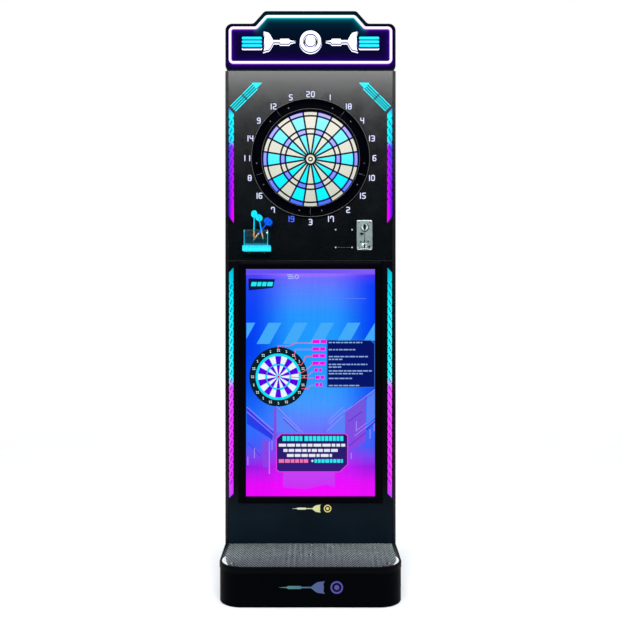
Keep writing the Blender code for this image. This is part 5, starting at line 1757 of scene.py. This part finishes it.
piece("coin_plate_grooves", dark.mesh("coin_plate_grooves"), ZINC_DARK, slot="zinc")
for i, (x, z, rr) in enumerate(((0.0140, 1.3866, 0.0036), (0.0205, 1.4060, 0.0018))):
    plate(f"coin_collar_{i + 1}", [circle(rr + 0.0016, 28, COIN_X + x, z), circle(rr, 24, COIN_X + x, z)],
          CP - 0.0012, 0.0013, ZINC, 0.0004, slot="zinc")
# painted highlights: bright bands along the plate's top edge and two at its foot
gleam = Lump()
gleam.add(prism(rect(COIN_X - 0.0290, COIN_X + 0.0290, COIN_Z + 0.0573, COIN_Z + 0.0597, 0.0010, 3), CP - 0.0014, CP - 0.0011))
gleam.add(prism(rect(COIN_X - 0.0290, COIN_X - 0.0120, COIN_Z - 0.0597, COIN_Z - 0.0575, 0.0010, 3), CP - 0.0014, CP - 0.0011))
gleam.add(prism(rect(COIN_X + 0.0150, COIN_X + 0.0290, COIN_Z - 0.0597, COIN_Z - 0.0575, 0.0010, 3), CP - 0.0014, CP - 0.0011))
piece("coin_plate_highlights", gleam.mesh("coin_plate_highlights"), ZINC_GLINT, slot="zinc", smooth=0)
wings = Lump()
for s in (-1, 1):
    pts = [(s * 0.0015, 1.3862), (s * 0.0130, 1.3806), (s * 0.0155, 1.3822), (s * 0.0040, 1.3905)]
    loop = [(COIN_X + x, z) for x, z in (pts if s > 0 else pts[::-1])]
    wings.add(prism(loop, CP - 0.0022, CP + 0.0001))
piece("coin_return_hood", wings.mesh("coin_return_hood"), ZINC, slot="zinc")
piece("coin_reject_dot", Lump().add(prism(rect(COIN_X - 0.0120, COIN_X - 0.0040, 1.3520, 1.3552, 0.0014, 4),
                                          CP - 0.0009, CP + 0.0001)).mesh("coin_reject_dot"),
      lit("red_lens", lambda m: m.mix(m.noise(400.0), lin(200, 30, 24), lin(240, 70, 50)), 0.8, base=0.6),
      slot="zinc")
dress("coin_reject_button", BLACK)
dress("coin_return_flap", ZINC)
flap = Lump()
flap.add(slab(rect(COIN_X - 0.0118, COIN_X + 0.0118, 1.3588, 1.3752, 0.0015), CF - 0.0031, CF - 0.0026, 0.0003))
piece("coin_flap_face", flap.mesh("coin_flap_face"), ZINC, body="coin_return_flap", slot="flap_metal")
flap = Lump().add(prism(rect(COIN_X - 0.0032, COIN_X + 0.0028, 1.3586, 1.3756, 0.0016, 4), CF - 0.0034, CF - 0.0030))
piece("coin_flap_slot", flap.mesh("coin_flap_slot"), ZINC_DARK, body="coin_return_flap", slot="flap_metal", smooth=0)
# painted highlights on the flap: a bright crescent each side of its slot
flap = Lump()
for s, cz in ((-1, 1.3690), (1, 1.3660)):
    ring = []
    for k in range(9):
        a = math.radians(-70 + 110 * k / 8)
        ring.append((s * (0.0022 + 0.0068 * math.cos(a)), 0.0060 * math.sin(a)))
    for k in range(8, -1, -1):
        a = math.radians(-70 + 110 * k / 8)
        ring.append((s * (0.0022 + 0.0030 * math.cos(a)), 0.0032 * math.sin(a)))
    loop = [(COIN_X + x, cz + z) for x, z in (ring if s > 0 else ring[::-1])]
    flap.add(prism(loop, CF - 0.0034, CF - 0.0030))
piece("coin_flap_highlights", flap.mesh("coin_flap_highlights"), ZINC_GLINT, body="coin_return_flap", slot="flap_metal", smooth=0)

# ---------------------------------------------------------------- dart holder and darts
HX0, HX1 = HOLDER_X
HZ0, HZ1 = HOLDER_Z
HY1, HY0 = CF, CF - 0.0500


def box_rows(d, r):
    return rounded([(HX0 + d, HY0 + d, max(r - d, 0.0005)), (HX1 - d, HY0 + d, max(r - d, 0.0005)),
                    (HX1 - d, HY1 - d, max(r - d, 0.0005)), (HX0 + d, HY1 - d, max(r - d, 0.0005))], 5)


# painted light: the acrylic glows from the LED below, cyan and most opaque at the bottom, fading upwards
acrylic = Mat("clear_acrylic", Roughness=0.04, Specular_IOR_Level=0.12, Emission_Strength=0.35)
t = acrylic.remap(acrylic.xyz[2], HZ0, HZ1, 0.0, 1.0)
acrylic.link("Base Color", acrylic.mix(t, lin(20, 190, 215), lin(150, 200, 215)))
acrylic.link("Emission Color", acrylic.mix(t, lin(0, 190, 220), lin(6, 60, 80)))
smear = acrylic.noise(60.0, 4.0)
acrylic.link("Alpha", acrylic.math("ADD", acrylic.remap(t, 0.0, 0.16, 0.16, 0.006),
                                   acrylic.remap(smear, 0.4, 0.7, 0.0, 0.012)))
rows_h = [[(x, y, z) for x, y in box_rows(d, 0.0022)] for d, z in
          ((0.0, HZ0), (0.0, HZ1 - 0.0005), (0.0005, HZ1), (0.0025, HZ1), (0.0030, HZ1 - 0.0005), (0.0030, HZ0 + 0.0030))]
piece("dart_holder_box", Lump().add(stack(rows_h)).mesh("dart_holder_box"), acrylic.m, slot="acrylic",
      replaces=["dart_holder"], smooth=40)
# painted light: the LED's light showing along the box's front corners and its top rim
EDGE_LIT = lit("acrylic_edge", lambda m: m.ramp(m.remap(m.xyz[2], HZ0, HZ1, 0, 1), srgb_ramp([
    (0.0, (0, 235, 250)), (0.35, (0, 190, 235)), (0.8, (20, 190, 240)), (1.0, (110, 240, 255))])), 1.15, base=0.3)
edges = Lump()
e = 0.0020
for x in (HX0, HX1 - e):
    for y in (HY0,):
        loop = [(x - 0.0001, y - 0.0001), (x + e, y - 0.0001), (x + e, y + e), (x - 0.0001, y + e)]
        edges.add(stack([[(a, b, HZ0 + 0.0002) for a, b in loop], [(a, b, HZ1 - 0.0004) for a, b in loop]]))
piece("dart_holder_edges", edges.mesh("dart_holder_edges"), EDGE_LIT, slot="acrylic", smooth=0)
RIM_LIT = lit("acrylic_rim", lambda m: m.mix(m.noise(90.0), lin(56, 96, 110), lin(86, 126, 140)), 0.8, base=0.4)
rim = Lump()
for y in (HY0 + 0.0004, HY1 - 0.0014):
    rim.add(tube([(HX0 + 0.002, y + 0.0005, HZ1 - 0.0002), (HX1 - 0.002, y + 0.0005, HZ1 - 0.0002)], 0.0005, 8))
piece("dart_holder_rim", rim.mesh("dart_holder_rim"), RIM_LIT, slot="acrylic")
spark = Lump().add(slab(circle(0.0032, 24, HX1 - 0.0030, HZ1 - 0.0110), HY0 - 0.0008, HY0 + 0.0004, 0.0005))
piece("dart_holder_led", spark.mesh("dart_holder_led"),
      lit("led_white", lambda m: m.mix(m.noise(700.0), lin(190, 255, 255), lin(235, 255, 255)), 1.4, base=0.8),
      slot="acrylic")


def base_colour(m):
    z = m.xyz[2]
    c = m.ramp(m.remap(z, 1.3445, 1.3680, 0, 1), srgb_ramp([
        (0.0, (0, 214, 226)), (0.35, (0, 232, 244)), (0.75, (10, 205, 236)), (1.0, (24, 150, 226))]))
    bubbles = m.noise(170.0, 4.0, 0.7)
    return m.mix(m.remap(bubbles, 0.45, 0.75, 0.0, 0.35), c, lin(150, 250, 255))


base = Lump()
bx0, bx1, by0, by1, bz0, bz1 = -0.2755, -0.1620, CF - 0.0520, CF, 1.3445, 1.3680
rows_b = []
for d, z in ((0.0030, bz0), (0.0012, bz0 + 0.0006), (0.0003, bz0 + 0.0016), (0.0, bz0 + 0.0030),
             (0.0, bz1 - 0.0030), (0.0003, bz1 - 0.0016), (0.0012, bz1 - 0.0006), (0.0030, bz1)):
    rr = 0.0060 - d
    rows_b.append([(x, y, z) for x, y in rounded([(bx0 + d, by0 + d, rr), (bx1 - d, by0 + d, rr), (bx1 - d, by1, 0.0004),
                                                   (bx0 + d, by1, 0.0004)], 6)])
piece("dart_holder_bar", base.add(stack(rows_b)).mesh("dart_holder_bar"), lit("holder_bar", base_colour, 1.05, base=0.5),
      slot="holder_base", replaces=["dart_holder_base"], smooth=40)

FLOOR = HOLDER_Z[0] + 0.0030 + 0.0005
DARTS = {
    "dart_left": ((-0.2300, -0.0980, FLOOR), (-0.2285, -0.0990, FLOOR + 0.1170), 6.0, 0.0140,
                  ((0, 225, 240), (20, 250, 255)), (0, 205, 240)),
    "dart_middle": ((-0.1900, -0.0715, FLOOR), (-0.2060, -0.1315, FLOOR + 0.0990), 0.0, 0.0150,
                    ((0, 205, 235), (30, 245, 255)), (0, 170, 245)),
    "dart_right": ((-0.2490, -0.0705, FLOOR), (-0.1755, -0.0967, FLOOR + 0.0875), 20.0, 0.0185,
                   ((0, 66, 225), (10, 120, 255)), (20, 80, 230)),
}
TIP = plastic("dart_tip_nylon", (0.02, 0.02, 0.022), 0.4, 0.4)
for name, (tip, top, spin, radius, (c0, c1), shaft_rgb) in DARTS.items():
    direction = (Vector(top) - Vector(tip)).normalized()
    turn = Matrix.Translation(tip) @ direction.to_track_quat("Z", "Y").to_matrix().to_4x4()
    soft = lathe([(0.0, 0.0002), (0.0005, 0.0004), (0.0007, 0.0080), (0.0011, 0.0200), (0.0017, 0.0235),
                  (0.0017, 0.0262), (0.0, 0.0262)], 14)
    piece(f"{name}_tip", Lump().add(soft, matrix=turn).mesh(f"{name}_tip"), TIP, body=name, slot="dart")
    profile = [(0.0, 0.0262), (0.0024, 0.0262), (0.0030, 0.0290), (0.0036, 0.0320)]
    z = 0.0340
    while z < 0.0540:
        profile += [(0.0037, z), (0.0037, z + 0.0009), (0.0032, z + 0.0012), (0.0032, z + 0.0019)]
        z += 0.0022
    profile += [(0.0036, z + 0.0004), (0.0036, z + 0.0020), (0.0026, z + 0.0040), (0.0, z + 0.0040)]
    neck = z + 0.0040
    barrel = lathe(profile, 20)
    mat = BRASS if name != "dart_left" else STEEL
    piece(f"{name}_barrel", Lump().add(barrel, matrix=turn).mesh(f"{name}_barrel"), BRASS, body=name, slot="dart")
    shaft = lathe([(0.0, neck), (0.0026, neck), (0.0028, neck + 0.0030), (0.0024, neck + 0.0060), (0.0024, 0.0900),
                   (0.0021, 0.0925), (0.0023, 0.0960), (0.0021, 0.1300), (0.0012, 0.1378), (0.0, 0.1378)], 16)
    # the shafts and flights carry their colour as their own light: painted glow
    sm = lit(f"{name}_shaft_mat", lambda m, c=shaft_rgb: m.mix(m.noise(400.0), lin(*c),
                                                              tuple(v * 1.3 for v in lin(*c))), 1.0, base=0.3)
    piece(f"{name}_shaft", Lump().add(shaft, matrix=turn).mesh(f"{name}_shaft"), sm, body=name, slot="dart")
    vanes = Lump()
    for i in range(4):
        a = math.radians(spin + 90.0 * i)
        out = [(0.0018, 0.1085)]
        n = 16
        for k in range(n + 1):
            th = math.radians(-80 + 160 * k / n)
            out.append((0.0015 + (radius - 0.0015) * math.cos(th), 0.1232 + 0.0146 * math.sin(th)))
        out.append((0.0018, 0.1375))
        loops = []
        for t_off, s in ((-0.0004, 1.0), (0.0004, 1.0)):
            loops.append([(x * math.cos(a) - t_off * math.sin(a), x * math.sin(a) + t_off * math.cos(a), zz)
                          for x, zz in out])
        vanes.add(stack(loops), matrix=turn)
    fm = lit(f"{name}_flight_mat",
             lambda m, a=c0, b=c1: m.mix(m.remap(m.noise(160.0, 4.0), 0.3, 0.7, 0, 1), lin(*a), lin(*b)),
             1.0 if name != "dart_right" else 0.95, base=0.2)
    piece(f"{name}_flight", vanes.mesh(f"{name}_flight"), fm, body=name, slot="dart", smooth=0)
    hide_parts(name)

# ---------------------------------------------------------------- rear: vents, handle, hinge, lock, inlet
def vent(name, x0, x1, z0, z1, y_face, body_name, cols, rows_n):
    loops = [rect(x0, x1, z0, z1, 0.006)]
    w = (x1 - x0 - 0.020) / cols
    h = (z1 - z0 - 0.020) / rows_n
    for i in range(cols):
        for j in range(rows_n):
            cx = x0 + 0.010 + w * (i + 0.5)
            cz = z0 + 0.010 + h * (j + 0.5)
            loops.append(rect(cx - w * 0.42, cx + w * 0.42, cz - 0.0020, cz + 0.0020, 0.0019, 3))
    plate(name, loops, y_face + 0.0001, 0.0020, BLACK, 0.0004, 1, body=body_name, slot="controller")


vent("rear_vent_upper", -0.2200, 0.2200, 1.9000, 2.0300, 0.3455, "machine", 5, 12)
vent("rear_vent_door", -0.2200, 0.2200, 0.2200, 0.3600, 0.3455, "rear_door", 5, 13)
knuckles_d, knuckles_f = Lump(), Lump()
zk = 0.1850
i = 0
while zk < 1.0800:
    seg = tube([(-0.3325, 0.3480, zk), (-0.3325, 0.3480, zk + 0.0385)], 0.0032, 14)
    v = lathe([(0.0, zk), (0.0032, zk), (0.0032, zk + 0.0392), (0.0, zk + 0.0392)], 16)
    (knuckles_d if i % 2 == 0 else knuckles_f).add(v, matrix=Matrix.Translation((-0.3325, 0.3480, 0)))
    zk += 0.0400
    i += 1
piece("rear_hinge_door_knuckles", knuckles_d.mesh("hinge_door"), DARK_STEEL, body="rear_door", slot="lock")
piece("rear_hinge_frame_knuckles", knuckles_f.mesh("hinge_frame"), DARK_STEEL, slot="lock")
dress("door_lock", CHROME)
key = Lump()
key.add(lathe([(0.0, 0.0025), (0.0052, 0.0025), (0.0060, 0.0020), (0.0060, 0.0010), (0.0, 0.0010)], 28),
        matrix=facing_back(0.2980, 0.6600, 0.3455 + 0.0012))
piece("lock_cylinder", key.mesh("lock_cylinder"), STEEL, body="door_lock", slot="lock")
key = Lump().add(prism(rect(0.2980 - 0.0008, 0.2980 + 0.0008, 0.6600 - 0.0035, 0.6600 + 0.0035, 0.0003, 2),
                       0.3455 + 0.0030, 0.3455 + 0.00395))
piece("lock_keyway", key.mesh("lock_keyway"), BLACK, body="door_lock", slot="lock")
dress("power_inlet", BLACK)
pins = Lump()
for x, z in ((-0.0060, 0.0005), (0.0060, 0.0005), (0.0, -0.0035)):
    pins.add(prism(rect(0.2500 + x - 0.0010, 0.2500 + x + 0.0010, 0.0780 + z - 0.0020, 0.0780 + z + 0.0020, 0.0003, 2),
                   0.3330, 0.3475))
piece("inlet_pins", pins.mesh("inlet_pins"), STEEL, slot="inlet")
heads = Lump()
for x in (-0.0195, 0.0195):
    heads.add(screw_head(0.0026, 0.0009), matrix=facing_back(0.2500 + x, 0.0780, 0.3535))
piece("inlet_screws", heads.mesh("inlet_screws"), DARK_STEEL, slot="inlet")
heads = Lump()
for x in (-0.3230, 0.3230):
    for z in (1.1500, 1.4500, 1.7500, 2.0550):
        heads.add(screw_head(0.0040, 0.0016), matrix=facing_back(x, z, 0.3455))
piece("rear_panel_screws", heads.mesh("rear_panel_screws"), DARK_STEEL, slot="laminate")
pull = Lump()
loops = []
for i in range(17):
    a = math.pi * i / 16
    z = 0.6600 + 0.0450 * -math.cos(a)
    y = 0.3455 + 0.0020 + 0.0055 * math.sin(a)
    loops.append((0.2400, y, z))
pull.add(tube(loops, 0.0030, 10, side_axis=(1, 0, 0)))
piece("door_pull", pull.mesh("door_pull"), DARK_STEEL, body="rear_door", slot="lock", smooth=60)
ctl = Lump()
for k in range(8):
    ctl.add(prism(rect(-0.2695, -0.2665, 0.78 + 0.030 * k, 0.80 + 0.030 * k, 0.0004, 2), 0.10, 0.24))
piece("controller_fins", ctl.mesh("controller_fins"), GREY_BOX, slot="controller")

# ---------------------------------------------------------------- floor, lights, camera
bm = bmesh.new()
bmesh.ops.create_circle(bm, cap_ends=True, segments=96, radius=9.0)
me = bpy.data.meshes.new("studio_floor")
bm.to_mesh(me)
bm.free()
floor = bpy.data.objects.new("studio_floor", me)
SCENE.collection.objects.link(floor)
fm = Mat("studio_floor", Roughness=0.65, Specular_IOR_Level=0.2)
fm.link("Base Color", fm.mix(fm.remap(fm.noise(3.0, 3.0), 0.3, 0.7, 0, 1), (0.86, 0.86, 0.87), (0.90, 0.90, 0.91)))
rad = fm.node("VectorMath", operation="LENGTH")
fm.feed(rad.inputs[0], fm.coord)
fm.link("Alpha", fm.remap(rad.outputs["Value"], 1.2, 4.2, 1.0, 0.0, smooth=True))
me.materials.append(fm.m)
floor.location = (0, 0, -0.0002)

world = bpy.data.worlds.new("studio")
world.use_nodes = True
SCENE.world = world
nt = world.node_tree
for n in list(nt.nodes):
    nt.nodes.remove(n)
out = nt.nodes.new("ShaderNodeOutputWorld")
seen = nt.nodes.new("ShaderNodeBackground")
seen.inputs["Color"].default_value = (1.0, 1.0, 1.0, 1.0)
fill = nt.nodes.new("ShaderNodeBackground")
tc = nt.nodes.new("ShaderNodeTexCoord")
sep = nt.nodes.new("ShaderNodeSeparateXYZ")
nt.links.new(tc.outputs["Generated"], sep.inputs[0])
up = nt.nodes.new("ShaderNodeMapRange")
up.interpolation_type = "SMOOTHSTEP"
nt.links.new(sep.outputs["Z"], up.inputs["Value"])
for key_name, value in zip(("From Min", "From Max", "To Min", "To Max"), (0.45, 0.95, 0.0, 0.80)):
    up.inputs[key_name].default_value = value
back = nt.nodes.new("ShaderNodeMapRange")
back.interpolation_type = "SMOOTHSTEP"
nt.links.new(sep.outputs["Y"], back.inputs["Value"])
for key_name, value in zip(("From Min", "From Max", "To Min", "To Max"), (-0.55, 0.45, 0.014, 0.50)):
    back.inputs[key_name].default_value = value
total = nt.nodes.new("ShaderNodeMath")
total.operation = "MAXIMUM"
nt.links.new(up.outputs["Result"], total.inputs[0])
nt.links.new(back.outputs["Result"], total.inputs[1])
fill.inputs["Color"].default_value = (0.86, 0.94, 1.0, 1.0)
nt.links.new(total.outputs[0], fill.inputs["Strength"])
ray = nt.nodes.new("ShaderNodeLightPath")
mixw = nt.nodes.new("ShaderNodeMixShader")
nt.links.new(ray.outputs["Is Camera Ray"], mixw.inputs[0])
nt.links.new(fill.outputs[0], mixw.inputs[1])
nt.links.new(seen.outputs[0], mixw.inputs[2])
nt.links.new(mixw.outputs[0], out.inputs["Surface"])


def area(name, loc, target, size, power, colour=(1, 1, 1)):
    data = bpy.data.lights.new(name, "AREA")
    data.shape = "RECTANGLE"
    data.size, data.size_y = size
    data.energy = power
    data.color = colour
    ob = bpy.data.objects.new(name, data)
    ob.location = loc
    ob.rotation_euler = (Vector(target) - Vector(loc)).to_track_quat("-Z", "Y").to_euler()
    SCENE.collection.objects.link(ob)
    return ob


area("softbox_front_top", (0.0, -4.4, 3.86), (0.0, 0.0, 1.9), (4.5, 1.1), 190.0)
area("softbox_overhead", (0.0, -0.6, 4.4), (0.0, -0.2, 0.0), (3.4, 3.0), 120.0)
area("softbox_left", (-3.6, -1.6, 2.2), (0.0, 0.0, 1.1), (1.2, 3.0), 45.0)
area("softbox_right", (3.6, -1.6, 2.2), (0.0, 0.0, 1.1), (1.2, 3.0), 45.0)
area("softbox_rear", (0.0, 4.2, 3.2), (0.0, 0.0, 1.2), (3.0, 2.0), 90.0)

cam_data = bpy.data.cameras.new("camera")
cam_data.lens = 45.28
cam_data.sensor_width = 36.0
cam_data.shift_y = -0.030
cam = bpy.data.objects.new("camera", cam_data)
cam.location = (0.0, -3.2665, 1.1790)
cam.rotation_euler = (math.pi / 2, 0.0, 0.0)
SCENE.collection.objects.link(cam)
SCENE.camera = cam
SCENE.view_settings.view_transform = "Standard"
SCENE.view_settings.look = "None"
